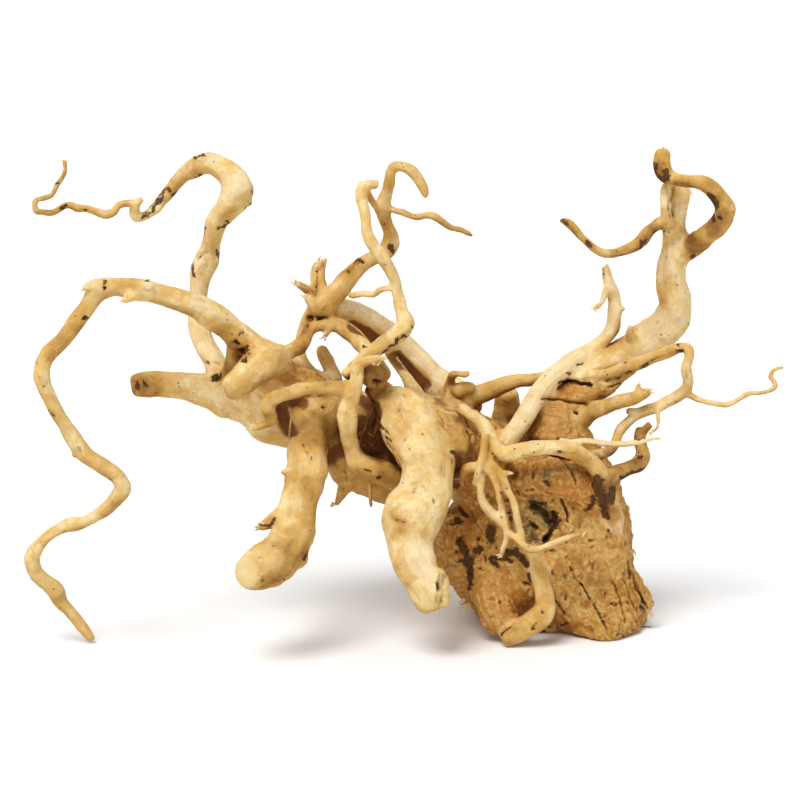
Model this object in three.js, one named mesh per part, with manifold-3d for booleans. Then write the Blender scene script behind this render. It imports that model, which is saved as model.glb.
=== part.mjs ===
// A piece of spiderwood: the washed, branching root crown of a shrub, grown as one solid.
// Millimetres, +Z up, with the front of the piece towards -Y. The origin is on the ground,
// in the middle of the stump's flat underside.
import * as THREE from 'three';
import { mergeVertices } from 'three/addons/utils/BufferGeometryUtils.js';
import Module from 'manifold-3d';

// Driving dimensions
const OVERALL_WIDTH = 502; // from the left tendril's bend to the right twig's hook
const EYE_DISTANCE = 2000; // the front sheet is a perspective view, seen from this far
const EYE_TILT = 12; // degrees that the view looks down
const EYE_HEIGHT = 152; // of the point that the view looks at, above the ground
const BASE_ACROSS = 104; // from that point to the middle of the stump's underside
const BASE_DEPTH = 6;

// The front sheet: a square of 800 units that holds the front view of the whole piece
const SHEET_CENTRE = 400;
const SHEET_REACH = 761; // units between the ends that OVERALL_WIDTH measures
const UNIT = OVERALL_WIDTH / SHEET_REACH;

// How coarse the faceted limbs are
const THICK = 20; // a limb whose largest radius is past this many units has the most sides
const MEDIUM = 10.5;
const THIN = 4.5;
const SIDES = { thick: 9, medium: 7, thin: 5, twig: 4 };
const LEAST_STEP = 1.75; // rings lie at least this many radii apart
const MASS_SEGMENTS = 12;
const MASS_ROWS = 8;

const up = new THREE.Vector3(0, 0, 1);
const tilt = THREE.MathUtils.degToRad(EYE_TILT);
const sheetUp = new THREE.Vector3(0, Math.sin(tilt), Math.cos(tilt));
const target = new THREE.Vector3(0, 0, EYE_HEIGHT);
const eye = new THREE.Vector3(0, -Math.cos(tilt), Math.sin(tilt)).multiplyScalar(EYE_DISTANCE).add(target);

// Where a point of the front sheet lies in space: on the eye's ray through it, at a depth
// in millimetres behind (+) or before (-) the target, with how much a unit grows there
function place(across, down, depth) {
  const onSheet = target.clone().addScaledVector(sheetUp, (SHEET_CENTRE - down) * UNIT);
  onSheet.x += (across - SHEET_CENTRE) * UNIT;
  const along = (depth - eye.y) / (onSheet.y - eye.y);
  return { point: eye.clone().lerp(onSheet, along), unit: UNIT * along };
}

// A value read from a short list that is spread evenly over 0 to 1
function spread(list, t) {
  const at = t * (list.length - 1);
  const low = Math.min(Math.floor(at), list.length - 2);
  return THREE.MathUtils.lerp(list[low], list[low + 1], at - low);
}

// A limb's route: [across, down, radius] on the front sheet, with its depths spread along it.
// Points that crowd the last ring are passed over, but never the route's end.
const routes = [];
function route(name, depths, points) {
  const stations = [];
  points.forEach(([across, down, radius], i) => {
    const { point, unit } = place(across, down, spread(depths, i / (points.length - 1)));
    const last = stations.at(-1);
    const crowded = last && last.point.distanceTo(point) < LEAST_STEP * last.radius;
    if (crowded && i < points.length - 1) return;
    if (crowded && stations.length > 1) stations.pop();
    stations.push({ point, radius: radius * unit });
  });
  routes.push({ name, stations, widest: Math.max(...points.map((p) => p[2])) });
}

// Left side: the long tendril that arches over and drops to the floor
route('arch_tendril', [-30, -50, -60, -64, -66, -66, -66, -64, -60, -56, -52, -50], [
  [262, 357, 17], [247, 342, 13], [232, 330.5, 12.5], [218, 319, 14], [203, 309, 12], [190, 303, 11],
  [175, 299, 10.7], [160, 294.5, 10], [150, 292, 10], [137, 290, 10], [122, 287, 8.7], [111, 286.5, 9.3],
  [99, 290, 10.8], [92.5, 299, 9.2], [87.5, 308, 8.6], [81, 315.5, 8.5], [70.5, 330, 8.2], [61, 342, 8],
  [50, 351, 8], [44.5, 360, 7], [41.5, 369, 7.8], [41.5, 378, 8.2], [46, 391, 7.5], [52, 402, 7],
  [59, 415.5, 7], [68, 429, 7.3], [75, 440.5, 8], [82, 450, 9], [88, 457, 8.5], [97, 462, 7.5],
  [107, 469, 7.7], [115, 475, 8], [120.5, 481.5, 7.8], [123.5, 488, 8], [118.5, 494.5, 8],
  [112, 502.5, 7.5], [105, 509.5, 7.2], [94, 516.5, 6.2], [84.5, 521.5, 6], [74.5, 523.5, 7.8],
  [66.5, 525, 6.8], [56.5, 530, 5.8], [47.5, 536, 5.8], [39.5, 544, 6.4], [34.5, 550, 7.4],
  [31.5, 556.5, 8.1], [32, 565, 8.1], [35.5, 572.5, 8.1], [42.5, 580, 8], [51, 586.5, 7.9],
  [57, 593, 8.2], [60.5, 601, 7], [67.5, 608.5, 6.5], [73.5, 616, 6], [79, 622.5, 5.8],
  [84.5, 629.5, 5.3], [89, 635, 4.5], [91.5, 640.5, 3.8],
]);
route('arch_broken_twig', [-66, -67, -68], [[100, 288, 8], [91, 285.5, 5.4], [83.5, 288.5, 3.4]]);
route('arch_frayed_stub', [-62, -66], [[138, 292, 6], [131, 297, 5], [123, 301, 3]]);
route('arch_bump', [-62, -64], [[150, 288, 6], [147, 281, 4]]);
route('tendril_spur', [-62, -66], [[80, 447, 6], [73, 457, 2.5]]);
route('web_behind_arch', [-40, -25, -5], [[236, 338, 10], [234, 352, 8], [232, 367, 9], [230, 380, 12]]);

// Left side: the crooked branch that rises and trails off to a thin hooked twig
route('crook', [2, 10, 16, 20, 14, 6, 2, 8, 14, 16, 8, 0], [
  [226, 388, 15], [222, 374, 13], [217, 366, 12], [212, 356.5, 11], [204, 343, 10.5], [202, 335, 11],
  [199.5, 323.5, 11], [198, 306, 10], [199, 291, 9.7], [200, 282.5, 10.6], [201, 273.5, 12.2],
  [203.5, 265, 12.5], [206.5, 257.5, 12.5], [209, 250, 10], [211.5, 241.5, 9.5], [213.5, 232.5, 9.5],
  [216, 225, 10.8], [219.5, 217.5, 11], [225, 210, 11.6], [233.5, 200, 14.6], [238.5, 191, 16.4],
  [236, 182, 15.4], [229.5, 173.5, 13.3], [217, 165.5, 10.5], [206.5, 162, 10.5], [196, 167, 10.2],
  [191, 170, 9], [183, 175, 7.2], [175.5, 183.5, 7], [169.5, 192, 6.8], [163, 200, 6.3], [155, 209, 6],
  [146, 215.5, 4.6], [137.5, 217.5, 4.8], [135, 212, 5.4], [136.5, 204.5, 4.5], [141.5, 199, 4],
]);
route('crook_corner', [12, 12], [[238, 199, 11], [252, 201, 4.4]]);
route('crook_twig', [4, -2, -6, -4, 2, 6, 2, -4], [
  [136, 206, 4.4], [130.5, 203.5, 3.8], [122.5, 204, 4], [117.5, 206.5, 4], [114, 212, 4.2],
  [105, 214.5, 4.3], [96, 212, 3.6], [87.5, 209, 3.5], [77, 208.5, 3.5], [70.5, 205.5, 3.6],
  [64, 206.5, 3.3], [58, 210.5, 3.2], [50, 213, 3.1], [42, 212, 2.8], [36, 211, 3], [34.5, 204.5, 3.2],
  [35.5, 200, 2.8], [42, 198.5, 2.6], [51.5, 195.5, 2.6], [55, 190, 2.6], [58, 184, 2.6],
  [63, 176.5, 2.4], [65.5, 169, 2.4], [64.5, 160, 3],
]);

// The knuckle where the left branches meet, and the cut stub beside it
route('knuckle_front_lobe', [-26, -40, -48, -52, -55, -56], [
  [280, 361, 12], [269, 359, 17.5], [257, 367, 18], [245, 378, 15.5], [234, 387, 14], [225, 391.5, 10.5],
]);
route('knuckle_bridge', [-36, -28, -25, -24], [
  [272, 362, 14], [289, 374, 10], [304, 381, 10], [322, 389, 11],
]);
route('cut_stub', [-12, -8, -4, 0, 0], [
  [131, 386, 11], [148, 384, 12.5], [170, 385, 13], [190, 387, 14], [205, 390.5, 16.5],
  [222, 393.5, 18.5], [245, 402, 22.5], [270, 412, 30],
]);
route('knuckle_core', [-18, -8, 0, 2], [[262, 372, 22], [282, 380, 26], [302, 392, 28], [325, 402, 28]]);

// The trunk that runs from the knuckle to the stump
route('trunk', [0, 2, 0, -6, -8, -4, 0], [
  [262, 410, 31], [296, 419, 33], [335, 416, 30], [370, 424, 28], [400, 430, 32], [430, 433, 37],
  [460, 447, 40], [490, 474, 46], [520, 505, 52],
]);
route('trunk_front', [-28, -34, -30], [[392, 412, 18], [420, 430, 26], [445, 445, 28], [470, 462, 26]]);
route('trunk_back', [26, 40, 44, 40, 34], [
  [290, 396, 18], [330, 404, 22], [372, 418, 24], [415, 420, 26], [455, 437, 26], [500, 472, 33],
]);
route('underside', [-24, -18, -12, -12], [
  [322, 440, 14], [347, 463, 21], [372, 471, 26], [398, 482, 24], [425, 480, 26],
]);

// Two thick legs that hang forward and end in cut faces
route('front_left_leg', [-14, -32, -48, -60, -70, -80, -90, -99, -108], [
  [322, 404, 21], [315, 420, 23], [308, 437, 21], [306, 455, 20], [306.5, 470, 19.6], [302.5, 487, 17.8],
  [298.5, 503, 18], [294.5, 520, 19], [292.5, 535, 19.6], [287, 549, 22], [277, 560.5, 23.2],
  [266, 567.5, 22], [254, 571.5, 19], [245.5, 573.5, 15.5],
]);
route('left_leg_splinter', [-72, -79, -82], [
  [290, 506, 9], [277, 517, 7.4], [265, 524.5, 5.6], [259, 527, 4.4],
]);
route('left_leg_spur', [-58, -64], [[291, 472, 6], [281, 472, 2]]);
route('front_middle_leg', [-20, -42, -54, -62, -68, -74, -80, -84, -88], [
  [394, 402, 18], [403, 415, 25], [409, 430, 27], [420, 444, 28], [428, 462, 27], [428, 480, 25],
  [425, 497, 26], [415, 512, 31], [410, 527, 28], [410, 543, 22], [412, 556, 22], [415, 570, 20.5],
  [422, 583, 18], [428, 597, 17], [433, 611, 11],
]);
route('middle_leg_flake', [-84, -90], [[434, 572, 9], [442, 590, 8], [446, 606, 4]]);
route('middle_leg_bulge', [-78, -80], [[404, 513, 20], [391, 517, 10]]);

// Roots that cross in front of the trunk
route('upright_root', [-48, -50, -50, -50, -49, -46, -42], [
  [357, 368, 5.6], [357, 380, 6.2], [353, 393, 8], [349, 405, 9], [348, 418, 9.8], [348, 432, 8.8],
  [351, 445, 8.5], [354, 458, 9.5],
]);
route('low_cross_root', [-42, -44, -40, -30], [
  [350, 460, 10], [361, 465, 11.2], [375, 470.5, 11.5], [392, 477, 11.5], [410, 481, 13],
]);
route('underside_spike', [-20, -30], [[348, 481, 9], [336.5, 505, 1.8]]);
route('underside_twig', [-40, -42, -40], [[369, 474, 3], [370, 495, 2.3], [371, 507, 2]]);
route('recess_strip', [-34, -30, -28], [[378, 406, 5], [370, 424, 3.6], [361, 444, 4]]);
route('recess_strip_two', [-30, -32, -30], [[386, 414, 4], [378, 430, 3.2], [367, 447, 3.6]]);
route('hooked_root', [-44, -52, -58, -60, -58, -54, -52], [
  [352, 392, 8], [345, 389, 8], [330, 388, 7.5], [315, 387.5, 6.5], [300, 389.5, 6.3], [285, 394, 6.8],
  [272, 400, 7], [266.5, 406, 6.5], [269, 413, 6.3], [272, 420, 5.5], [262, 425.5, 4], [252, 429, 3],
]);
route('slim_branch', [-42, -38, -34, -30, -30, -26, -20, -16, -12], [
  [345, 377, 5], [353, 368, 6], [362, 359.5, 7], [372, 352.5, 8], [382, 345, 8], [392, 338, 8],
  [401, 331, 9], [406, 323, 9], [402, 313, 6.4], [399.5, 300, 5.7], [396.5, 287, 5.5], [394, 276, 5.5],
  [388.5, 266, 5.8], [380, 255, 7], [372, 244, 6.3], [366.5, 231, 5.8], [365.5, 220, 5.6], [364, 209, 5],
  [362, 201, 5.6], [361, 192, 5.3], [363.5, 185.5, 5], [370, 184.5, 4.6], [378, 184, 5],
]);
route('slim_branch_twig', [-30, -22, -14], [
  [392, 287.5, 3], [381, 289.5, 3], [373.5, 294.5, 3], [364, 293.5, 3.3], [356, 295, 3.3],
  [349, 295.5, 2.5],
]);
route('open_broken_end', [-18, -28, -37, -44], [
  [358, 373, 8], [367, 371, 12], [375, 373.5, 14.5], [378.5, 377, 14],
]);
route('open_end_root', [-25, -22, -16], [[371, 385, 10], [380, 393, 12], [389, 405, 13]]);
route('frayed_cross_twig', [-48, -49, -48], [
  [356, 369, 5.4], [362, 362.5, 5.2], [371, 360, 4.6], [381, 359, 3.2],
]);

// The forked crown above the knuckle
route('crown_broken_fork', [2, 10, 13, 14], [
  [322, 305, 12], [320, 292, 10.2], [318, 282, 8], [317.5, 272, 7], [318.5, 262, 5.8],
]);
route('crown_splinter', [12, 16], [[321, 272, 4.2], [326, 258, 1.8]]);
route('crown_left_twig', [10, 2], [[316, 297, 6], [308, 290, 4.6], [297, 283.5, 3]]);
route('crown_knob', [0, -4], [[314, 303, 7], [306, 297, 3.4]]);
route('crown_arch', [-34, -20, -8, -5, -8, -12, -18, -24, -30], [
  [369, 354, 8], [363, 346, 8], [355, 337, 8], [345, 329, 8], [335, 323.5, 7.4], [325, 323, 6.4],
  [315, 326, 6], [308, 332.5, 6.3], [305, 341, 6.5], [297, 348, 6.5], [285, 353, 7],
]);
route('crown_back_leg', [6, 6, 4, 0, -6, -14], [
  [318, 306, 8], [312, 317, 8], [304, 329, 5.4], [300, 345, 5.6], [300.5, 357, 6], [305, 369, 7.5],
  [316, 381, 9],
]);
route('crown_nub', [-8, -12], [[329, 325, 5], [325, 337, 2.2]]);
route('crooked_branch', [-9, 0, 12, 20, 18, 12, 6, 2, 0, -4], [
  [315, 312, 11.5], [321, 307, 12.5], [330, 299, 11], [339, 289.5, 9.8], [348, 279, 9.2],
  [357, 269, 8.6], [365, 262, 7.8], [376, 257, 7], [387, 251, 8.4], [390, 242, 8.3], [389.5, 232, 6.5],
  [386, 222, 6.5], [382.5, 212, 8], [383, 203, 7.7], [387, 193, 6.3], [389.5, 183, 5.8], [390, 174, 5.5],
  [394, 166.5, 5.5], [402, 166.5, 5.5], [410, 170, 5.8], [416, 176.5, 5.5], [421, 184, 5],
  [424.5, 192, 4], [426, 197, 2.5],
]);
route('crooked_link', [-12, 0, 13], [[365, 189, 4], [372, 201, 3.4], [380, 212, 4.4]]);
route('crooked_twig', [14, 4, -4, -8, -4, 0], [
  [386, 208, 4], [394, 210, 3.4], [402, 211.5, 3.5], [410, 215.5, 3.2], [417, 217, 3.5],
  [423.5, 215.5, 3.2], [430.5, 215, 3.8], [436.5, 217.5, 3.2], [443.5, 222.5, 3], [450.5, 227.5, 2.8],
  [461, 230, 2.6], [468, 233, 2.2], [472.5, 236, 1.6],
]);
route('broken_stub_behind', [22, 24, 20, 12], [
  [321.5, 347, 4.4], [322.5, 353, 6.2], [327, 362, 6.8], [331.5, 371, 7.6], [335, 385, 10],
]);

// The pale root behind, from the crown down to the body
route('pale_root', [8, 22, 32, 36, 36, 32, 24, 12], [
  [328, 308, 11], [345, 309, 10.5], [365, 318.5, 12.5], [385, 330.5, 13], [399, 341, 13], [412, 355, 13],
  [425, 369, 13.5], [437, 383, 15], [450, 396, 18], [462, 416, 22],
]);
route('pale_root_web', [38, 38, 28], [[394, 346, 6], [409, 366, 6.5], [424, 388, 9]]);
route('crown_web', [20, 26, 30], [[350, 320, 5.5], [366, 333, 5.5], [382, 346, 6]]);
route('pale_root_strip', [32, 26, 14, -2], [
  [388, 346, 6], [393, 358, 5], [400, 368, 4.4], [408, 380, 5.4], [420, 402, 9.5],
]);

// The middle: a thin root going right, a broken stub and the diagonal that turns up
route('right_thin_root', [6, 10, 12, 12, 16], [
  [448, 402, 12], [465, 397, 9], [478, 395, 9], [490, 391, 8], [503, 385.5, 7.5], [517, 381.5, 6.5],
  [530, 380.5, 6.5], [543, 379, 6.3], [557, 377, 6.6],
]);
route('right_root_hump', [0, 2], [[455, 394, 8], [464, 387.5, 6], [474, 389, 5]]);
route('curly_twig', [10, 0, -6, -4], [
  [448, 390, 6], [451, 380, 4], [453, 375, 3.8], [459, 374, 3], [466, 375, 2.8], [468, 371, 2],
]);
route('behind_stub', [34, 38, 34, 22], [
  [507, 391, 12], [507.5, 405, 13.5], [505, 420, 13], [502, 440, 16],
]);
route('pale_diagonal', [-24, -14, -4, 4, 10, 14, 16, 18, 20, 18, 16], [
  [500, 448, 12], [509, 438, 10.5], [518, 427, 10], [527, 412, 9.5], [535, 399, 9.5], [543, 388, 9.5],
  [552, 378, 9.5], [563, 370.5, 9.4], [571.5, 362, 10.2], [581, 355.5, 8.5], [588.5, 350, 7.2],
  [599, 344, 6.5], [607, 336, 7], [613, 327, 7.3], [614.5, 317, 6.8], [615, 307, 7], [614, 297, 6],
  [610, 286, 6.5], [607.5, 276, 5.5], [605, 266, 4.2],
]);
route('diagonal_spike', [18, 16], [[614, 308, 5], [625.5, 309, 1.6]]);
route('hanging_splinter', [16, 12, 10], [
  [607.5, 280, 3.6], [605.5, 292, 3.2], [602.5, 301, 2.7], [597, 308.5, 1.9],
]);

// The big right branch, its loop and its tendril
route('right_branch', [14, 16, 20, 24, 26, 24, 20, 18, 16, 12, 10], [
  [572, 380, 13], [588, 370, 12.5], [600, 364, 14], [614, 360.5, 14.2], [628, 353, 16],
  [641, 346.5, 17.2], [653, 337, 18.5], [665, 328, 18.5], [673, 316, 18.5], [676, 305, 17],
  [674, 294, 16.5], [671, 284, 15.5], [671, 274, 16], [672, 262, 15.5], [675, 250, 14], [675, 236, 12.5],
  [674, 220, 12.4], [677, 206, 11.5], [679.5, 194, 10.5], [679.5, 182, 9.5],
]);
route('right_branch_thorn', [14, 6, 2], [
  [637, 350, 10], [632.5, 341, 6.6], [630, 333, 4.6], [630.5, 326, 2.6],
]);
route('right_branch_strip', [4, 0, -2, 4], [
  [669, 228, 7], [666, 215, 6], [665.5, 200, 5.6], [666, 184, 5],
]);
route('loop', [20, 12, -6, -18, -26, -28, -22, -12, -4, 2], [
  [675, 257, 11], [686, 250, 11.5], [697, 243, 10.5], [707, 234, 9.5], [717, 226, 9.5],
  [723.5, 217, 9.5], [725.5, 207.5, 10.5], [720, 198, 8.5], [713, 189, 8], [704, 183, 7],
  [692, 181.5, 6.4], [680, 180.5, 6.6], [668, 177, 8], [662, 170, 9.5], [661.5, 161, 8.6],
  [663, 150, 7.6],
]);
route('loop_corner', [-26, -26], [[726, 208, 9], [736, 208, 3.6]]);
route('right_tendril', [14, 2, -8, -16, -16, -8, -2], [
  [677, 226, 8.5], [668, 222.5, 7.5], [657, 225, 6], [649, 231, 6], [643, 239, 6.5], [634, 246, 5.8],
  [622, 251, 4.8], [608, 253.5, 4.4], [598, 250.5, 4.4], [590, 245, 4], [582, 237.5, 4],
  [575, 229.5, 3.8], [567, 222.5, 3.5], [560, 220.5, 2.4],
]);

// Strips below the right branch, with the twig that reaches furthest right
route('long_strip', [8, -2, -8, -12, -16, -20, -22, -18, -14, -10, -8, -12, -18, -26], [
  [578, 377, 5], [595, 375, 4.8], [608, 375, 6], [620, 370, 6.5], [632, 365, 6], [645, 360, 6],
  [658, 355.5, 5.5], [672, 350.5, 5.5], [682, 347, 5], [688.5, 349, 5.5], [689, 357, 4.9],
  [686, 366, 5.2], [686.5, 374, 5.3], [688, 382, 5.5], [685, 390, 6], [678, 396.5, 6.2], [668, 401.5, 6],
  [658, 406.5, 6], [648, 410, 5.5], [638, 414, 5], [626, 424, 5], [619, 432, 5], [616, 441, 4.3],
  [611, 449, 4.4], [602, 453, 5], [590, 456, 6],
]);
route('strip_stub', [-9, -12], [[640, 412, 4], [627, 411, 3.2]]);
route('second_strip', [12, 4, -6], [
  [578, 382, 4], [587, 381, 3], [600, 383, 3], [612, 384, 3], [622, 379.5, 3], [634, 370, 3.5],
]);
route('far_twig', [-14, -22, -26, -24, -20, -18, -22], [
  [684, 392, 4], [692, 396, 3.2], [701, 400.5, 2.7], [713, 403, 2.6], [722.5, 404.5, 2.8],
  [729, 404, 2.7], [739, 399, 2.5], [749, 393.5, 2.6], [760, 393, 2.5], [770.5, 390.5, 2.4],
  [775.5, 386.5, 2.4], [774.5, 381.5, 2.4], [770.5, 377.5, 2.4], [771.5, 373, 2.3], [774.5, 369.5, 2.2],
  [783, 367, 1.6],
]);
route('strip_thorn', [-14, -16], [[657, 406, 3], [658.5, 422, 1.6], [657, 428, 1.5], [651, 433, 1.4]]);
route('broken_root', [4, -8, -16, -20], [
  [580, 420, 11], [590, 412, 9.5], [600, 408.5, 8], [612, 404, 7.3], [624, 400.5, 6.5], [634, 398, 6.5],
  [643, 394, 5], [650, 391.5, 3.6],
]);
route('broken_root_nub', [-18, -16], [[638, 394, 4], [638, 385.5, 2.6]]);

// The stump's neck and the roots over its top and front
route('neck', [16, 14, 10, 8], [[574, 384, 14], [565, 404, 21], [560.5, 428, 26], [562, 452, 36]]);
route('neck_front', [12, 8, 2], [[553, 392, 15], [552, 414, 21], [552, 442, 24]]);
route('neck_left', [16, 16, 12], [[541, 400, 12], [530, 424, 14], [520, 450, 20]]);
route('neck_right', [12, 8, 2, -2], [[562, 402, 14], [586, 393, 12], [604, 387, 8.5], [619, 381, 4]]);
route('top_root_start', [-26, -34, -40, -46, -50], [
  [460, 408, 7], [466, 412.5, 5.4], [477, 420, 6.2], [486, 430, 7], [492, 441, 7.5], [498, 454, 9],
]);
route('top_root', [-50, -52, -52, -50, -46, -42, -40, -36, -26], [
  [498, 456, 9], [508, 455, 8.8], [520, 451, 8.4], [535, 448.5, 8], [550, 447, 7.5], [565, 449, 7.5],
  [578, 453, 7.7], [588, 459.5, 8], [596, 468, 8.5], [601, 477, 8.5], [605, 488, 8.4], [609, 500, 9.5],
  [613, 516, 10], [614, 532, 9],
]);
route('top_twig', [-44, -40, -36, -32], [
  [560, 444, 6], [572, 443, 3.4], [585, 441.5, 3.6], [600, 443, 3.5], [615, 444.3, 3.2], [630, 443.5, 3],
  [640, 442, 2.5], [650, 439.5, 1.8], [658, 438, 1.2],
]);
route('bent_dark_root', [-42, -36, -26, -14, -10, -8], [
  [604, 490, 9], [606, 480, 8], [615, 474, 7.5], [626, 469, 6.8], [637, 465, 7.2], [642.5, 457.5, 7.5],
  [641.5, 449, 6.2], [639.5, 441, 6.3], [640, 433, 6.4], [640.5, 427.5, 4.5],
]);
route('bent_root_knob', [-10, -12], [[643, 432, 4.4], [650, 424, 3.6]]);
route('bent_root_foot', [-30, -36], [[611, 478, 7], [612, 488, 7], [614, 498, 6]]);

// The tangle of thin roots in front of the stump
route('tangle_left', [-52, -58, -60, -58], [
  [486, 433, 5], [483, 453, 3.8], [480, 465, 3.8], [477, 477.5, 3.4], [474, 485, 2.6],
]);
route('tangle_long', [-50, -58, -64, -66, -66, -64, -62], [
  [488, 452, 5], [490, 462, 4.2], [497.5, 470, 4.2], [503.5, 480.5, 4], [507.5, 491, 3.7],
  [513, 500.5, 3.7], [516, 511, 3.6], [518, 522, 3.6], [521, 534, 3.6], [522.5, 545, 3.6],
]);
route('tangle_spur', [-60, -64], [[500, 472, 3.4], [513, 473.5, 1.8]]);
route('tangle_inner', [-54, -60, -62, -62, -60, -58], [
  [484, 458, 4.5], [486, 468, 3.7], [493, 477.5, 3.7], [497.5, 487, 3.6], [500, 499, 3.5],
  [502, 511, 3.4], [504.5, 522, 3.4], [506.5, 530, 3.6], [506.5, 538, 3.4], [503.5, 547, 2.9],
  [501, 556, 2.2],
]);
route('tangle_cross', [-60, -66, -68, -66, -62], [
  [506, 529, 3.6], [514, 537, 3.5], [522, 544, 3.7], [528.5, 549, 3.9], [537.5, 549.5, 3.7],
  [549.5, 545, 3.4], [562, 539.5, 3], [574, 536, 2.4], [583, 534, 1.6],
]);
route('tangle_low', [-56, -60, -62, -60], [
  [482, 474, 4.4], [480.5, 488, 4.4], [481.5, 499, 4.4], [487, 508, 4.4], [494.5, 516, 4.3],
  [503, 525, 4.2],
]);
route('tangle_feeder', [-44, -52, -56], [
  [450, 472, 7], [458, 474, 5.4], [466, 468, 5.2], [479, 466, 4.8],
]);
route('facing_knob', [-36, -48, -53], [[467, 457, 13], [461, 447.5, 10.5], [457, 440.5, 8.4]]);

// Ridges of old fibre that run down the stump from the upper left
route('ridge_left', [-14, -22, -24, -22], [
  [458, 512, 14], [464, 540, 20], [474, 566, 22], [490, 592, 18],
]);
route('ridge_middle', [-22, -27, -29, -26], [
  [486, 512, 22], [515, 538, 28], [545, 570, 30], [572, 600, 26], [592, 618, 16],
]);
route('ridge_upper', [-28, -30, -30, -28], [
  [508, 470, 15], [532, 479, 22], [558, 483, 24], [581, 490, 20], [598, 507, 15],
]);
route('ridge_right', [-22, -24, -22, -16], [
  [592, 512, 18], [606, 540, 20], [612, 566, 20], [620, 590, 18], [628, 612, 12],
]);
route('stump_flake', [-16, -20, -20], [[621, 556, 5], [638, 583, 6], [650, 607, 4.8]]);

// The foot under the front of the stump
route('foot', [-44, -49, -53, -56, -58, -57], [
  [531, 546, 5.2], [535, 558, 5.6], [539, 570, 6.8], [542.5, 583, 7.8], [545, 596, 8], [545.5, 608, 9.8],
  [541, 617, 10.8], [530, 624, 10.8], [518, 631.5, 10.2], [503.5, 639.5, 9],
]);
route('foot_lobe', [-30, -40, -44, -44], [
  [492, 570, 18], [494, 592, 19], [499, 611, 19], [507, 627, 16.5],
]);

// Stubs and roots on the back
route('back_floor_root', [44, 62, 78, 90, 95], [
  [560, 520, 22], [566, 548, 18], [560, 570, 14], [549, 585, 11.5], [541, 591, 8],
]);
route('back_ridge', [40, 56, 62, 56, 40], [
  [520, 440, 16], [516, 470, 18], [508, 505, 19], [498, 540, 17], [492, 565, 12],
]);
route('back_lower_ridge', [40, 56, 58, 50], [
  [560, 470, 14], [584, 510, 15], [598, 556, 15], [592, 606, 12],
]);
route('back_left_ridge', [34, 48, 50], [[468, 506, 12], [478, 552, 14], [500, 604, 13]]);
route('back_side_root', [30, 52, 66, 70], [
  [594, 474, 12], [605, 502, 12], [607, 530, 12], [600, 556, 9],
]);
route('back_stub', [34, 54, 68, 80], [[410, 424, 18], [404, 428, 15], [393, 432, 12], [380, 430, 8.5]]);
route('back_thin_root', [40, 58, 64, 60, 50], [
  [330, 408, 9], [352, 414, 7], [384, 408, 6], [418, 410, 6], [448, 424, 8],
]);

// The stump's rough bulk: [across, down, depth, half width, half height, half depth],
// the first two and the half width and height in sheet units, the rest in millimetres
const MASSES = [
  [536, 548, 8, 92, 78, 57],
  [476, 545, 4, 43, 48, 40],
  [543, 500, 4, 80, 46, 44],
  [590, 548, 8, 41, 78, 44],
  [598, 615, 4, 49, 44, 52],
  [540, 604, 20, 66, 48, 50],
  [545, 530, 36, 70, 66, 36],
];

const wasm = await Module();
wasm.setup();

function solidOf(geometry) {
  geometry.deleteAttribute('normal');
  geometry.deleteAttribute('uv');
  const merged = mergeVertices(geometry, 1e-4);
  return new wasm.Manifold(new wasm.Mesh({
    numProp: 3,
    vertProperties: merged.attributes.position.array,
    triVerts: Uint32Array.from(merged.index.array),
  }));
}

// How far a limb's skin stands off its even radius: it has flutes that wind slowly along it
function flutes(angle, along, start) {
  return 1 + 0.09 * Math.sin(2 * angle + 0.021 * along + start)
    + 0.05 * Math.sin(3 * angle - 0.034 * along + 2 * start);
}

function sidesFor(widest) {
  if (widest > THICK) return SIDES.thick;
  if (widest > MEDIUM) return SIDES.medium;
  return widest > THIN ? SIDES.thin : SIDES.twig;
}

// A closed cylinder bent along the stations, each ring at its own radius
function limb({ stations, widest }, order) {
  const sides = sidesFor(widest);
  const rows = stations.length - 1;
  const geometry = new THREE.CylinderGeometry(1, 1, 1, sides, rows);
  const curve = new THREE.CatmullRomCurve3(stations.map((s) => s.point), false, 'centripetal');
  const frames = [];
  const across = new THREE.Vector3();
  let along = 0;
  for (let i = 0; i <= rows; i += 1) {
    const tangent = curve.getTangent(i / rows);
    if (i === 0) across.crossVectors(tangent, Math.abs(tangent.z) > 0.9 ? new THREE.Vector3(0, 1, 0) : up);
    else along += stations[i].point.distanceTo(stations[i - 1].point);
    across.addScaledVector(tangent, -across.dot(tangent)).normalize();
    const side = across.clone();
    frames.push({ side, over: new THREE.Vector3().crossVectors(tangent, side), along });
  }
  const position = geometry.attributes.position;
  const vertex = new THREE.Vector3();
  for (let i = 0; i < position.count; i += 1) {
    vertex.fromBufferAttribute(position, i);
    const row = Math.round((0.5 + vertex.y) * rows);
    const { side, over, along: reach } = frames[row];
    const angle = Math.atan2(vertex.z, vertex.x);
    const radius = stations[row].radius * flutes(angle, reach, order) * Math.hypot(vertex.x, vertex.z);
    const moved = stations[row].point.clone();
    moved.addScaledVector(side, -radius * Math.cos(angle)).addScaledVector(over, radius * Math.sin(angle));
    position.setXYZ(i, moved.x, moved.y, moved.z);
  }
  return solidOf(geometry);
}

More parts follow.
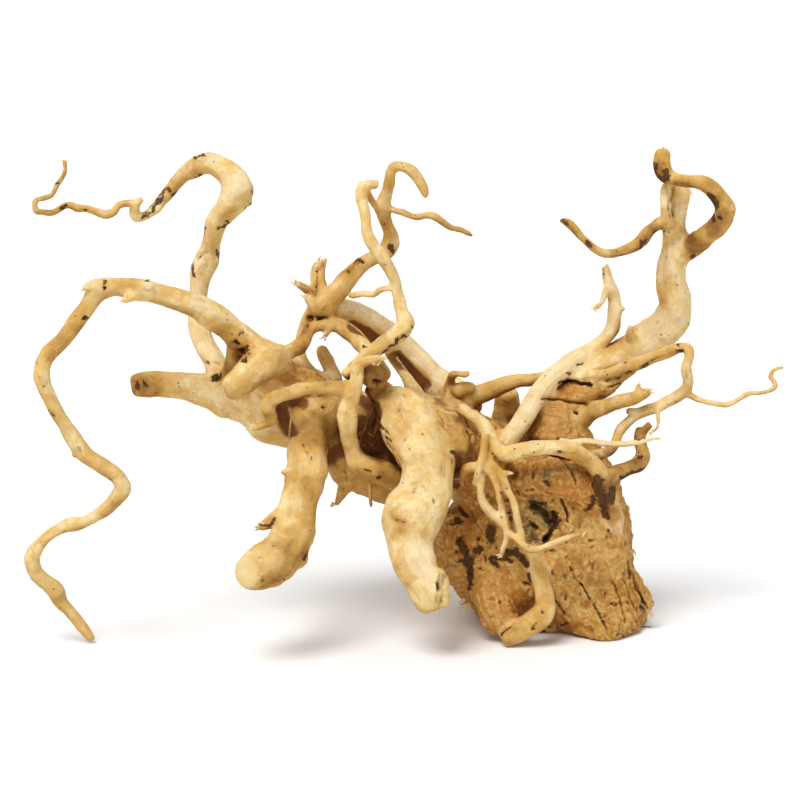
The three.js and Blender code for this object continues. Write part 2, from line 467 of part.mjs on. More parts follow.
// A lumpy ball for the stump's bulk
function mass([across, down, depth, halfWidth, halfHeight, halfDepth], order) {
  const { point, unit } = place(across, down, depth);
  const geometry = new THREE.SphereGeometry(1, MASS_SEGMENTS, MASS_ROWS);
  const position = geometry.attributes.position;
  const vertex = new THREE.Vector3();
  for (let i = 0; i < position.count; i += 1) {
    vertex.fromBufferAttribute(position, i);
    const lump = 0.04 * Math.sin(5 * vertex.x + 3 * vertex.y + order);
    vertex.multiplyScalar(1 + lump + 0.03 * Math.sin(7 * vertex.z - order));
    position.setXYZ(
      i,
      point.x + vertex.x * halfWidth * unit,
      point.y - vertex.z * halfDepth,
      point.z + vertex.y * halfHeight * unit,
    );
  }
  return solidOf(geometry);
}

function join(solids) {
  return solids.reduce((whole, next) => whole.add(next));
}

// All that lies below the ground is cut away, which leaves the flat underside
function aboveGround(solid) {
  const size = 2 * OVERALL_WIDTH;
  const box = new THREE.BoxGeometry(size, size, size);
  box.translate(0, 0, size / 2);
  return solid.intersect(solidOf(box));
}

function meshOf(name, solid, material) {
  const { vertProperties, triVerts } = solid.getMesh();
  const geometry = new THREE.BufferGeometry();
  geometry.setAttribute('position', new THREE.BufferAttribute(vertProperties, 3));
  geometry.setIndex(new THREE.BufferAttribute(triVerts, 1));
  geometry.computeVertexNormals();
  const mesh = new THREE.Mesh(geometry, material);
  mesh.name = name;
  return mesh;
}

const wood = new THREE.MeshStandardMaterial({ color: 0xc49a62, roughness: 0.8, metalness: 0 });
const root = meshOf('spiderwood_root', aboveGround(join([...MASSES.map(mass), ...routes.map(limb)])), wood);

const piece = new THREE.Group();
piece.add(root);
root.position.set(-BASE_ACROSS, -BASE_DEPTH, 0);

export default piece;
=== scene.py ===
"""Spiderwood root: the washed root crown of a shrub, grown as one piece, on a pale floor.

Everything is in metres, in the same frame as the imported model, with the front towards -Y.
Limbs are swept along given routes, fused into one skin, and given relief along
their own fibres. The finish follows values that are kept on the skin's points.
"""
import math

import bmesh
import bpy
import numpy as np
from mathutils import Matrix, Vector
from mathutils.bvhtree import BVHTree


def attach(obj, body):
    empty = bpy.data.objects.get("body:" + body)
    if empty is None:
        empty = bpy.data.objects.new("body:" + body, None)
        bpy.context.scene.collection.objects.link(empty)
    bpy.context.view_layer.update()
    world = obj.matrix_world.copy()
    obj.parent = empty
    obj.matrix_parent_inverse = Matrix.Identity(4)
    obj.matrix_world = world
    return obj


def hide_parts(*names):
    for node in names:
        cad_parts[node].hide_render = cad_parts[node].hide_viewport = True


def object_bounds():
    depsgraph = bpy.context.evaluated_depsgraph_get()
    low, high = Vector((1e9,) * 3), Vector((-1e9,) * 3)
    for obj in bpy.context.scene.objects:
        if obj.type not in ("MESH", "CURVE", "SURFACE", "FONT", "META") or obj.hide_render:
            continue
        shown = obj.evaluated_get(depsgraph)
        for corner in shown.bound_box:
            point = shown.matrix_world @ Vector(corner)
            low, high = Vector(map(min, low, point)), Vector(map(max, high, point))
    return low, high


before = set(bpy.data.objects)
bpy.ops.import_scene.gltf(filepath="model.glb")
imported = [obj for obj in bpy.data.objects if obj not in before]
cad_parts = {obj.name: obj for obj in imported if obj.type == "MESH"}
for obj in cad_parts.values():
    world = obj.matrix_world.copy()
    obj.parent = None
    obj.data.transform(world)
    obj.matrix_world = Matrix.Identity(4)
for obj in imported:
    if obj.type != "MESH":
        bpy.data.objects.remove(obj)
CAD_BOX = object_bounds()

MM = 0.001
NODE = "spiderwood_root"

# The front sheet: a square of 800 units that holds the front view of the whole piece
OVERALL_WIDTH = 502 * MM
SHEET_REACH = 761
SHEET_CENTRE = 400
SHEET_SIZE = 800
UNIT = OVERALL_WIDTH / SHEET_REACH
EYE_DISTANCE = 2000 * MM
EYE_TILT = math.radians(12)
BASE_ACROSS = 104 * MM  # the base lies this far to the right of the sheet's centre
BASE_DEPTH = 6 * MM  # and this far behind the plane of depth 0
TARGET_HEIGHT = 152 * MM
TARGET = Vector((-BASE_ACROSS, -BASE_DEPTH, TARGET_HEIGHT))
SHEET_UP = Vector((0, math.sin(EYE_TILT), math.cos(EYE_TILT)))
EYE = TARGET + EYE_DISTANCE * Vector((0, -math.cos(EYE_TILT), math.sin(EYE_TILT)))

# How fine the skin is
VOXEL = 0.95 * MM
STEP_RADII = 0.5  # rings lie this many radii apart
LEAST_STEP = 1.3 * MM
LEAST_RADIUS_SHARE = 0.6  # no ring is smaller than this share of its limb's smallest station
RING_SIDES = 20
SPLINTER_SIDES = 6
TRIANGLES_A_PIECE = 195_000
FILLET_ROUNDS = 110

# How high the relief stands: first in shares of the limb's radius, then in metres
FLUTES, SWELLS, BURLS, KNUCKLES = 0.1, 0.085, 0.13, 0.13
MOST_FLUTED_RADIUS = 14 * MM  # thicker wood has no larger flutes and swells than this
LIMB_FIBRE, LIMB_GRIT, LIMB_DENTS = 0.11 * MM, 0.22 * MM, 0.6 * MM
STUMP_FIBRE, STUMP_RIDGES, STUMP_KNOTS = 0.35 * MM, 0.2 * MM, 0.35 * MM
STUMP_NODULES, STUMP_BULGES, STUMP_PITS = 1.7 * MM, 1.2 * MM, 1.7 * MM
CHANCE_CLEFTS, SUNK_HOLLOWS, MOSS_BLISTERS = 1.6 * MM, 2 * MM, 1.2 * MM

# How marks on the front and the test for sheltered wood reach
FRONT_LAYER = 14 * MM  # a mark reaches this far behind the foremost wood that it touches
SHELTER_RAYS = 10
SHELTER_REACH = 45 * MM
SHELTER_SHARE = 5  # one point in so many is tested, and the rest follow their neighbours
RAY_LEAN = 1.05  # over 1, so that no ray points into the wood
RAY_START = 0.6 * MM
FAR_LOSS = 0.6  # how much less the wood at the end of the reach counts

# The grain of the wood
GRAIN_SHIFT = 0.37  # metres from one limb's grain to the next one's, so that no two are alike
STUMP_RADIUS = 40 * MM  # the radius that the lumps of the stump count as
FAR_FROM_ENDS = 1.0  # for the lumps, which have no ends
LEAST_TONED_LENGTH = 60 * MM  # shorter limbs get no chance shade
CHANCE_SHADE = 0.3
GOLDEN = 0.618034  # steps of this share spread evenly, so that neighbours differ


def place(across, down, depth_mm):
    """A sheet point's place at a depth behind (+) or before (-) the target, and a unit's size there."""
    on_sheet = TARGET + (SHEET_CENTRE - down) * UNIT * SHEET_UP
    on_sheet.x += (across - SHEET_CENTRE) * UNIT
    y = depth_mm * MM - BASE_DEPTH
    along = (y - EYE.y) / (on_sheet.y - EYE.y)
    return EYE.lerp(on_sheet, along), UNIT * along


def spread(values, t):
    """The value at t, from 0 to 1, along values that lie evenly."""
    return float(np.interp(t * (len(values) - 1), range(len(values)), values))


ROUTES = {}


def route(name, depths, points):
    """A limb: [across, down, radius] on the front sheet, with its depths spread along it."""
    stations = []
    for i, (across, down, radius) in enumerate(points):
        spot, unit = place(across, down, spread(depths, i / (len(points) - 1)))
        stations.append((*spot, radius * unit))
    ROUTES[name] = np.array(stations)


# Left side: the long tendril that arches over and drops to the floor
route("arch_tendril", [-30, -50, -60, -64, -66, -66, -66, -64, -60, -56, -52, -50], [
    [262, 357, 17], [247, 342, 13], [232, 330.5, 12.5], [218, 319, 14], [203, 309, 12], [190, 303, 11],
    [175, 299, 10.7], [160, 294.5, 10], [150, 292, 10], [137, 290, 10], [122, 287, 8.7],
    [111, 286.5, 9.3], [99, 290, 10.8], [92.5, 299, 9.2], [87.5, 308, 8.6], [81, 315.5, 8.5],
    [70.5, 330, 8.2], [61, 342, 8], [50, 351, 8], [44.5, 360, 7], [41.5, 369, 7.8], [41.5, 378, 8.2],
    [46, 391, 7.5], [52, 402, 7], [59, 415.5, 7], [68, 429, 7.3], [75, 440.5, 8], [82, 450, 9],
    [88, 457, 8.5], [97, 462, 7.5], [107, 469, 7.7], [115, 475, 8], [120.5, 481.5, 7.8], [123.5, 488, 8],
    [118.5, 494.5, 8], [112, 502.5, 7.5], [105, 509.5, 7.2], [94, 516.5, 6.2], [84.5, 521.5, 6],
    [74.5, 523.5, 7.8], [66.5, 525, 6.8], [56.5, 530, 5.8], [47.5, 536, 5.8], [39.5, 544, 6.4],
    [34.5, 550, 7.4], [31.5, 556.5, 8.1], [32, 565, 8.1], [35.5, 572.5, 8.1], [42.5, 580, 8],
    [51, 586.5, 7.9], [57, 593, 8.2], [60.5, 601, 7], [67.5, 608.5, 6.5], [73.5, 616, 6],
    [79, 622.5, 5.8], [84.5, 629.5, 5.3], [89, 635, 4.5], [91.5, 640.5, 3.8],
])
route("arch_broken_twig", [-66, -67, -68], [[100, 288, 8], [91, 285.5, 5.4], [83.5, 288.5, 3.4]])
route("arch_frayed_stub", [-62, -66], [[138, 292, 6], [131, 297, 5], [123, 301, 3]])
route("arch_bump", [-62, -64], [[150, 288, 6], [147, 281, 4]])
route("tendril_spur", [-62, -66], [[80, 447, 6], [73, 457, 2.5]])
route("web_behind_arch", [-40, -25, -5], [[236, 338, 10], [234, 352, 8], [232, 367, 9], [230, 380, 12]])

# Left side: the crooked branch that rises and trails off to a thin hooked twig
route("crook", [2, 10, 16, 20, 14, 6, 2, 8, 14, 16, 8, 0], [
    [226, 388, 15], [222, 374, 13], [217, 366, 12], [212, 356.5, 11], [204, 343, 10.5], [202, 335, 11],
    [199.5, 323.5, 11], [198, 306, 10], [199, 291, 9.7], [200, 282.5, 10.6], [201, 273.5, 12.2],
    [203.5, 265, 12.5], [206.5, 257.5, 12.5], [209, 250, 10], [211.5, 241.5, 9.5], [213.5, 232.5, 9.5],
    [216, 225, 10.8], [219.5, 217.5, 11], [225, 210, 11.6], [233.5, 200, 14.6], [238.5, 191, 16.4],
    [236, 182, 15.4], [229.5, 173.5, 13.3], [217, 165.5, 10.5], [206.5, 162, 10.5], [196, 167, 10.2],
    [191, 170, 9], [183, 175, 7.2], [175.5, 183.5, 7], [169.5, 192, 6.8], [163, 200, 6.3], [155, 209, 6],
    [146, 215.5, 4.6], [137.5, 217.5, 4.8], [135, 212, 5.4], [136.5, 204.5, 4.5], [141.5, 199, 4],
])
route("crook_corner", [12, 12], [[238, 199, 11], [252, 201, 4.4]])
route("crook_twig", [4, -2, -6, -4, 2, 6, 2, -4], [
    [136, 206, 4.4], [130.5, 203.5, 3.8], [122.5, 204, 4], [117.5, 206.5, 4], [114, 212, 4.2],
    [105, 214.5, 4.3], [96, 212, 3.6], [87.5, 209, 3.5], [77, 208.5, 3.5], [70.5, 205.5, 3.6],
    [64, 206.5, 3.3], [58, 210.5, 3.2], [50, 213, 3.1], [42, 212, 2.8], [36, 211, 3], [34.5, 204.5, 3.2],
    [35.5, 200, 2.8], [42, 198.5, 2.6], [51.5, 195.5, 2.6], [55, 190, 2.6], [58, 184, 2.6],
    [63, 176.5, 2.4], [65.5, 169, 2.4], [64.5, 160, 3],
])

# The knuckle where the left branches meet, and the cut stub beside it
route("knuckle_front_lobe", [-26, -40, -48, -52, -55, -56], [
    [280, 361, 12], [269, 359, 17.5], [257, 367, 18], [245, 378, 15.5], [234, 387, 14],
    [225, 391.5, 10.5],
])
route("knuckle_bridge", [-36, -28, -25, -24], [
    [272, 362, 14], [289, 374, 10], [304, 381, 10], [322, 389, 11],
])
route("cut_stub", [-12, -8, -4, 0, 0], [
    [131, 386, 11], [148, 384, 12.5], [170, 385, 13], [190, 387, 14], [205, 390.5, 16.5],
    [222, 393.5, 18.5], [245, 402, 22.5], [270, 412, 30],
])
route("knuckle_core", [-18, -8, 0, 2], [[262, 372, 22], [282, 380, 26], [302, 392, 28], [325, 402, 28]])

# The trunk that runs from the knuckle to the stump
route("trunk", [0, 2, 0, -6, -8, -4, 0], [
    [262, 410, 31], [296, 419, 33], [335, 416, 30], [370, 424, 28], [400, 430, 32], [430, 433, 37],
    [460, 447, 40], [490, 474, 46], [520, 505, 52],
])
route("trunk_front", [-28, -34, -30], [[392, 412, 18], [420, 430, 26], [445, 445, 28], [470, 462, 26]])
route("trunk_back", [26, 40, 44, 40, 34], [
    [290, 396, 18], [330, 404, 22], [372, 418, 24], [415, 420, 26], [455, 437, 26], [500, 472, 33],
])
route("underside", [-24, -18, -12, -12], [
    [322, 440, 14], [347, 463, 21], [372, 471, 26], [398, 482, 24], [425, 480, 26],
])

# Two thick legs that hang forward and end in cut faces
route("front_left_leg", [-14, -32, -48, -60, -70, -80, -90, -99, -108], [
    [322, 404, 21], [315, 420, 23], [308, 437, 21], [306, 455, 20], [306.5, 470, 19.6],
    [302.5, 487, 17.8], [298.5, 503, 18], [294.5, 520, 19], [292.5, 535, 19.6], [287, 549, 22],
    [277, 560.5, 23.2], [266, 567.5, 22], [254, 571.5, 19], [245.5, 573.5, 15.5],
])
route("left_leg_splinter", [-72, -79, -82], [
    [290, 506, 9], [277, 517, 7.4], [265, 524.5, 5.6], [259, 527, 4.4],
])
route("left_leg_spur", [-58, -64], [[291, 472, 6], [281, 472, 2]])
route("front_middle_leg", [-20, -42, -54, -62, -68, -74, -80, -84, -88], [
    [394, 402, 18], [403, 415, 25], [409, 430, 27], [420, 444, 28], [428, 462, 27], [428, 480, 25],
    [425, 497, 26], [415, 512, 31], [410, 527, 28], [410, 543, 22], [412, 556, 22], [415, 570, 20.5],
    [422, 583, 18], [428, 597, 17], [433, 611, 11],
])
route("middle_leg_flake", [-84, -90], [[434, 572, 9], [442, 590, 8], [446, 606, 4]])
route("middle_leg_bulge", [-78, -80], [[404, 513, 20], [391, 517, 10]])

# Roots that cross in front of the trunk
route("upright_root", [-48, -50, -50, -50, -49, -46, -42], [
    [357, 368, 5.6], [357, 380, 6.2], [353, 393, 8], [349, 405, 9], [348, 418, 9.8], [348, 432, 8.8],
    [351, 445, 8.5], [354, 458, 9.5],
])
route("low_cross_root", [-42, -44, -40, -30], [
    [350, 460, 10], [361, 465, 11.2], [375, 470.5, 11.5], [392, 477, 11.5], [410, 481, 13],
])
route("underside_spike", [-20, -30], [[348, 481, 9], [336.5, 505, 1.8]])
route("underside_twig", [-40, -42, -40], [[369, 474, 3], [370, 495, 2.3], [371, 507, 2]])
route("recess_strip", [-34, -30, -28], [[378, 406, 5], [370, 424, 3.6], [361, 444, 4]])
route("recess_strip_two", [-30, -32, -30], [[386, 414, 4], [378, 430, 3.2], [367, 447, 3.6]])
route("hooked_root", [-44, -52, -58, -60, -58, -54, -52], [
    [352, 392, 8], [345, 389, 8], [330, 388, 7.5], [315, 387.5, 6.5], [300, 389.5, 6.3], [285, 394, 6.8],
    [272, 400, 7], [266.5, 406, 6.5], [269, 413, 6.3], [272, 420, 5.5], [262, 425.5, 4], [252, 429, 3],
])
route("slim_branch", [-42, -38, -34, -30, -30, -26, -20, -16, -12], [
    [345, 377, 5], [353, 368, 6], [362, 359.5, 7], [372, 352.5, 8], [382, 345, 8], [392, 338, 8],
    [401, 331, 9], [406, 323, 9], [402, 313, 6.4], [399.5, 300, 5.7], [396.5, 287, 5.5], [394, 276, 5.5],
    [388.5, 266, 5.8], [380, 255, 7], [372, 244, 6.3], [366.5, 231, 5.8], [365.5, 220, 5.6],
    [364, 209, 5], [362, 201, 5.6], [361, 192, 5.3], [363.5, 185.5, 5], [370, 184.5, 4.6], [378, 184, 5],
])
route("slim_branch_twig", [-30, -22, -14], [
    [392, 287.5, 3], [381, 289.5, 3], [373.5, 294.5, 3], [364, 293.5, 3.3], [356, 295, 3.3],
    [349, 295.5, 2.5],
])
route("open_broken_end", [-18, -28, -37, -44], [
    [358, 373, 8], [367, 371, 12], [375, 373.5, 14.5], [378.5, 377, 14],
])
route("open_end_root", [-25, -22, -16], [[371, 385, 10], [380, 393, 12], [389, 405, 13]])
route("frayed_cross_twig", [-48, -49, -48], [
    [356, 369, 5.4], [362, 362.5, 5.2], [371, 360, 4.6], [381, 359, 3.2],
])

# The forked crown above the knuckle
route("crown_broken_fork", [2, 10, 13, 14], [
    [322, 305, 12], [320, 292, 10.2], [318, 282, 8], [317.5, 272, 7], [318.5, 262, 5.8],
])
route("crown_splinter", [12, 16], [[321, 272, 4.2], [326, 258, 1.8]])
route("crown_left_twig", [10, 2], [[316, 297, 6], [308, 290, 4.6], [297, 283.5, 3]])
route("crown_knob", [0, -4], [[314, 303, 7], [306, 297, 3.4]])
route("crown_arch", [-34, -20, -8, -5, -8, -12, -18, -24, -30], [
    [369, 354, 8], [363, 346, 8], [355, 337, 8], [345, 329, 8], [335, 323.5, 7.4], [325, 323, 6.4],
    [315, 326, 6], [308, 332.5, 6.3], [305, 341, 6.5], [297, 348, 6.5], [285, 353, 7],
])
route("crown_back_leg", [6, 6, 4, 0, -6, -14], [
    [318, 306, 8], [312, 317, 8], [304, 329, 5.4], [300, 345, 5.6], [300.5, 357, 6], [305, 369, 7.5],
    [316, 381, 9],
])
route("crown_nub", [-8, -12], [[329, 325, 5], [325, 337, 2.2]])
route("crooked_branch", [-9, 0, 12, 20, 18, 12, 6, 2, 0, -4], [
    [315, 312, 11.5], [321, 307, 12.5], [330, 299, 11], [339, 289.5, 9.8], [348, 279, 9.2],
    [357, 269, 8.6], [365, 262, 7.8], [376, 257, 7], [387, 251, 8.4], [390, 242, 8.3], [389.5, 232, 6.5],
    [386, 222, 6.5], [382.5, 212, 8], [383, 203, 7.7], [387, 193, 6.3], [389.5, 183, 5.8],
    [390, 174, 5.5], [394, 166.5, 5.5], [402, 166.5, 5.5], [410, 170, 5.8], [416, 176.5, 5.5],
    [421, 184, 5], [424.5, 192, 4], [426, 197, 2.5],
])
route("crooked_link", [-12, 0, 13], [[365, 189, 4], [372, 201, 3.4], [380, 212, 4.4]])
route("crooked_twig", [14, 4, -4, -8, -4, 0], [
    [386, 208, 4], [394, 210, 3.4], [402, 211.5, 3.5], [410, 215.5, 3.2], [417, 217, 3.5],
    [423.5, 215.5, 3.2], [430.5, 215, 3.8], [436.5, 217.5, 3.2], [443.5, 222.5, 3], [450.5, 227.5, 2.8],
    [461, 230, 2.6], [468, 233, 2.2], [472.5, 236, 1.6],
])
route("broken_stub_behind", [22, 24, 20, 12], [
    [321.5, 347, 4.4], [322.5, 353, 6.2], [327, 362, 6.8], [331.5, 371, 7.6], [335, 385, 10],
])

# The pale root behind, from the crown down to the body
route("pale_root", [8, 22, 32, 36, 36, 32, 24, 12], [
    [328, 308, 11], [345, 309, 10.5], [365, 318.5, 12.5], [385, 330.5, 13], [399, 341, 13],
    [412, 355, 13], [425, 369, 13.5], [437, 383, 15], [450, 396, 18], [462, 416, 22],
])
route("pale_root_web", [38, 38, 28], [[394, 346, 6], [409, 366, 6.5], [424, 388, 9]])
route("crown_web", [20, 26, 30], [[350, 320, 5.5], [366, 333, 5.5], [382, 346, 6]])
route("pale_root_strip", [32, 26, 14, -2], [
    [388, 346, 6], [393, 358, 5], [400, 368, 4.4], [408, 380, 5.4], [420, 402, 9.5],
])

# The middle: a thin root going right, a broken stub and the diagonal that turns up
route("right_thin_root", [6, 10, 12, 12, 16], [
    [448, 402, 12], [465, 397, 9], [478, 395, 9], [490, 391, 8], [503, 385.5, 7.5], [517, 381.5, 6.5],
    [530, 380.5, 6.5], [543, 379, 6.3], [557, 377, 6.6],
])
route("right_root_hump", [0, 2], [[455, 394, 8], [464, 387.5, 6], [474, 389, 5]])
route("curly_twig", [10, 0, -6, -4], [
    [448, 390, 6], [451, 380, 4], [453, 375, 3.8], [459, 374, 3], [466, 375, 2.8], [468, 371, 2],
])
route("behind_stub", [34, 38, 34, 22], [
    [507, 391, 12], [507.5, 405, 13.5], [505, 420, 13], [502, 440, 16],
])
route("pale_diagonal", [-24, -14, -4, 4, 10, 14, 16, 18, 20, 18, 16], [
    [500, 448, 12], [509, 438, 10.5], [518, 427, 10], [527, 412, 9.5], [535, 399, 9.5], [543, 388, 9.5],
    [552, 378, 9.5], [563, 370.5, 9.4], [571.5, 362, 10.2], [581, 355.5, 8.5], [588.5, 350, 7.2],
    [599, 344, 6.5], [607, 336, 7], [613, 327, 7.3], [614.5, 317, 6.8], [615, 307, 7], [614, 297, 6],
    [610, 286, 6.5], [607.5, 276, 5.5], [605, 266, 4.2],
])
route("diagonal_spike", [18, 16], [[614, 308, 5], [625.5, 309, 1.6]])
route("hanging_splinter", [16, 12, 10], [
    [607.5, 280, 3.6], [605.5, 292, 3.2], [602.5, 301, 2.7], [597, 308.5, 1.9],
])

# The big right branch, its loop and its tendril
route("right_branch", [14, 16, 20, 24, 26, 24, 20, 18, 16, 12, 10], [
    [572, 380, 13], [588, 370, 12.5], [600, 364, 14], [614, 360.5, 14.2], [628, 353, 16],
    [641, 346.5, 17.2], [653, 337, 18.5], [665, 328, 18.5], [673, 316, 18.5], [676, 305, 17],
    [674, 294, 16.5], [671, 284, 15.5], [671, 274, 16], [672, 262, 15.5], [675, 250, 14],
    [675, 236, 12.5], [674, 220, 12.4], [677, 206, 11.5], [679.5, 194, 10.5], [679.5, 182, 9.5],
])
route("right_branch_thorn", [20, 12, 7], [
    [637, 350, 9], [632.5, 341, 6.6], [630, 333, 4.6], [630.5, 326, 2.6],
])
route("right_branch_strip", [4, 0, -2, 4], [
    [669, 228, 7], [666, 215, 6], [665.5, 200, 5.6], [666, 184, 5],
])
route("loop", [20, 12, -6, -18, -26, -28, -22, -12, -4, 2], [
    [675, 257, 11], [686, 250, 11.5], [697, 243, 10.5], [707, 234, 9.5], [717, 226, 9.5],
    [723.5, 217, 9.5], [725.5, 207.5, 10.5], [720, 198, 8.5], [713, 189, 8], [704, 183, 7],
    [692, 181.5, 6.4], [680, 180.5, 6.6], [668, 177, 8], [662, 170, 9.5], [661.5, 161, 8.6],
    [663, 150, 7.6],
])
route("loop_corner", [-26, -26], [[726, 208, 9], [736, 208, 3.6]])
route("right_tendril", [14, 2, -8, -16, -16, -8, -2], [
    [677, 226, 8.5], [668, 222.5, 7.5], [657, 225, 6], [649, 231, 6], [643, 239, 6.5], [634, 246, 5.8],
    [622, 251, 4.8], [608, 253.5, 4.4], [598, 250.5, 4.4], [590, 245, 4], [582, 237.5, 4],
    [575, 229.5, 3.8], [567, 222.5, 3.5], [560, 220.5, 2.4],
])

# Strips below the right branch, with the twig that reaches furthest right
route("long_strip", [8, -2, -8, -12, -16, -20, -22, -18, -14, -10, -8, -12, -18, -26], [
    [578, 377, 5], [595, 375, 4.8], [608, 375, 6], [620, 370, 6.5], [632, 365, 6], [645, 360, 6],
    [658, 355.5, 5.5], [672, 350.5, 5.5], [682, 347, 5], [688.5, 349, 5.5], [689, 357, 4.9],
    [686, 366, 5.2], [686.5, 374, 5.3], [688, 382, 5.5], [685, 390, 6], [678, 396.5, 6.2],
    [668, 401.5, 6], [658, 406.5, 6], [648, 410, 5.5], [638, 414, 5], [626, 424, 5], [619, 432, 5],
    [616, 441, 4.3], [611, 449, 4.4], [602, 453, 5], [590, 456, 6],
])
route("strip_stub", [-9, -12], [[640, 412, 4], [627, 411, 3.2]])
route("second_strip", [12, 4, -6], [
    [578, 382, 4], [587, 381, 3], [600, 383, 3], [612, 384, 3], [622, 379.5, 3], [634, 370, 3.5],
])
route("far_twig", [-14, -22, -26, -24, -20, -18, -22], [
    [684, 392, 4], [692, 396, 3.2], [701, 400.5, 2.7], [713, 403, 2.6], [722.5, 404.5, 2.8],
    [729, 404, 2.7], [739, 399, 2.5], [749, 393.5, 2.6], [760, 393, 2.5], [770.5, 390.5, 2.4],
    [775.5, 386.5, 2.4], [774.5, 381.5, 2.4], [770.5, 377.5, 2.4], [771.5, 373, 2.3],
    [774.5, 369.5, 2.2], [783, 367, 1.6],
])
route("strip_thorn", [-14, -16], [[657, 406, 3], [658.5, 422, 1.6], [657, 428, 1.5], [651, 433, 1.4]])
route("broken_root", [4, -8, -16, -20], [
    [580, 420, 11], [590, 412, 9.5], [600, 408.5, 8], [612, 404, 7.3], [624, 400.5, 6.5],
    [634, 398, 6.5], [643, 394, 5], [650, 391.5, 3.6],
])
route("broken_root_nub", [-18, -16], [[638, 394, 4], [638, 385.5, 2.6]])

# The stump's neck and the roots over its top and front
route("neck", [16, 14, 10, 8], [[574, 384, 14], [565, 404, 21], [560.5, 428, 26], [562, 452, 36]])
route("neck_front", [12, 8, 2], [[553, 392, 15], [552, 414, 21], [552, 442, 24]])
route("neck_left", [16, 16, 12], [[541, 400, 12], [530, 424, 14], [520, 450, 20]])
route("neck_right", [12, 8, 2, -2], [[562, 402, 14], [586, 393, 12], [604, 387, 8.5], [619, 381, 4]])
route("top_root_start", [-26, -34, -40, -46, -50], [
    [460, 408, 7], [466, 412.5, 5.4], [477, 420, 6.2], [486, 430, 7], [492, 441, 7.5], [498, 454, 9],
])
route("top_root", [-50, -52, -52, -50, -46, -42, -40, -36, -26], [
    [498, 456, 9], [508, 455, 8.8], [520, 451, 8.4], [535, 448.5, 8], [550, 447, 7.5], [565, 449, 7.5],
    [578, 453, 7.7], [588, 459.5, 8], [596, 468, 8.5], [601, 477, 8.5], [605, 488, 8.4], [609, 500, 9.5],
    [613, 516, 10], [614, 532, 9],
])
route("top_twig", [-44, -40, -36, -32], [
    [560, 444, 6], [572, 443, 3.4], [585, 441.5, 3.6], [600, 443, 3.5], [615, 444.3, 3.2],
    [630, 443.5, 3], [640, 442, 2.5], [650, 439.5, 1.8], [658, 438, 1.2],
])
route("bent_dark_root", [-42, -36, -26, -14, -10, -8], [
    [604, 490, 9], [606, 480, 8], [615, 474, 7.5], [626, 469, 6.8], [637, 465, 7.2], [642.5, 457.5, 7.5],
    [641.5, 449, 6.2], [639.5, 441, 6.3], [640, 433, 6.4], [640.5, 427.5, 4.5],
])
route("bent_root_knob", [-10, -12], [[643, 432, 4.4], [650, 424, 3.6]])
route("bent_root_foot", [-30, -36], [[611, 478, 7], [612, 488, 7], [614, 498, 6]])

# The tangle of thin roots in front of the stump
route("tangle_left", [-52, -58, -60, -58], [
    [486, 433, 5], [483, 453, 3.8], [480, 465, 3.8], [477, 477.5, 3.4], [474, 485, 2.6],
])
route("tangle_long", [-50, -58, -64, -66, -66, -64, -62], [
    [488, 452, 5], [490, 462, 4.2], [497.5, 470, 4.2], [503.5, 480.5, 4], [507.5, 491, 3.7],
    [513, 500.5, 3.7], [516, 511, 3.6], [518, 522, 3.6], [521, 534, 3.6], [522.5, 545, 3.6],
])
route("tangle_spur", [-60, -64], [[500, 472, 3.4], [513, 473.5, 1.8]])
route("tangle_inner", [-54, -60, -62, -62, -60, -58], [
    [484, 458, 4.5], [486, 468, 3.7], [493, 477.5, 3.7], [497.5, 487, 3.6], [500, 499, 3.5],
    [502, 511, 3.4], [504.5, 522, 3.4], [506.5, 530, 3.6], [506.5, 538, 3.4], [503.5, 547, 2.9],
    [501, 556, 2.2],
])
route("tangle_cross", [-60, -66, -68, -66, -62], [
    [506, 529, 3.6], [514, 537, 3.5], [522, 544, 3.7], [528.5, 549, 3.9], [537.5, 549.5, 3.7],
    [549.5, 545, 3.4], [562, 539.5, 3], [574, 536, 2.4], [583, 534, 1.6],
])
route("tangle_low", [-56, -60, -62, -60], [
    [482, 474, 4.4], [480.5, 488, 4.4], [481.5, 499, 4.4], [487, 508, 4.4], [494.5, 516, 4.3],
    [503, 525, 4.2],
])
route("tangle_feeder", [-44, -52, -56], [
    [450, 472, 7], [458, 474, 5.4], [466, 468, 5.2], [479, 466, 4.8],
])
route("facing_knob", [-36, -48, -53], [[467, 457, 13], [461, 447.5, 10.5], [457, 440.5, 8.4]])

# Ridges of old fibre that run down the stump from the upper left
route("ridge_left", [-14, -22, -24, -22], [
    [458, 512, 14], [464, 540, 20], [474, 566, 22], [490, 592, 18],
])
route("ridge_middle", [-22, -27, -29, -26], [
    [486, 512, 22], [515, 538, 28], [545, 570, 30], [572, 600, 26], [592, 618, 16],
])
route("ridge_upper", [-28, -30, -30, -28], [
    [508, 470, 15], [532, 479, 22], [558, 483, 24], [581, 490, 20], [598, 507, 15],
])
route("ridge_right", [-22, -24, -22, -16], [
    [592, 512, 18], [606, 540, 20], [612, 566, 20], [620, 590, 18], [628, 612, 12],
])
route("stump_flake", [-16, -20, -20], [[621, 556, 5], [638, 583, 6], [650, 607, 4.8]])

# The foot under the front of the stump
route("foot", [-44, -49, -53, -56, -58, -57], [
    [531, 546, 5.2], [535, 558, 5.6], [539, 570, 6.8], [542.5, 583, 7.8], [545, 596, 8],
    [545.5, 608, 9.8], [541, 617, 10.8], [530, 624, 10.8], [518, 631.5, 10.2], [503.5, 639.5, 9],
])
route("foot_lobe", [-30, -40, -44, -44], [
    [492, 570, 18], [494, 592, 19], [499, 611, 19], [507, 627, 16.5],
])

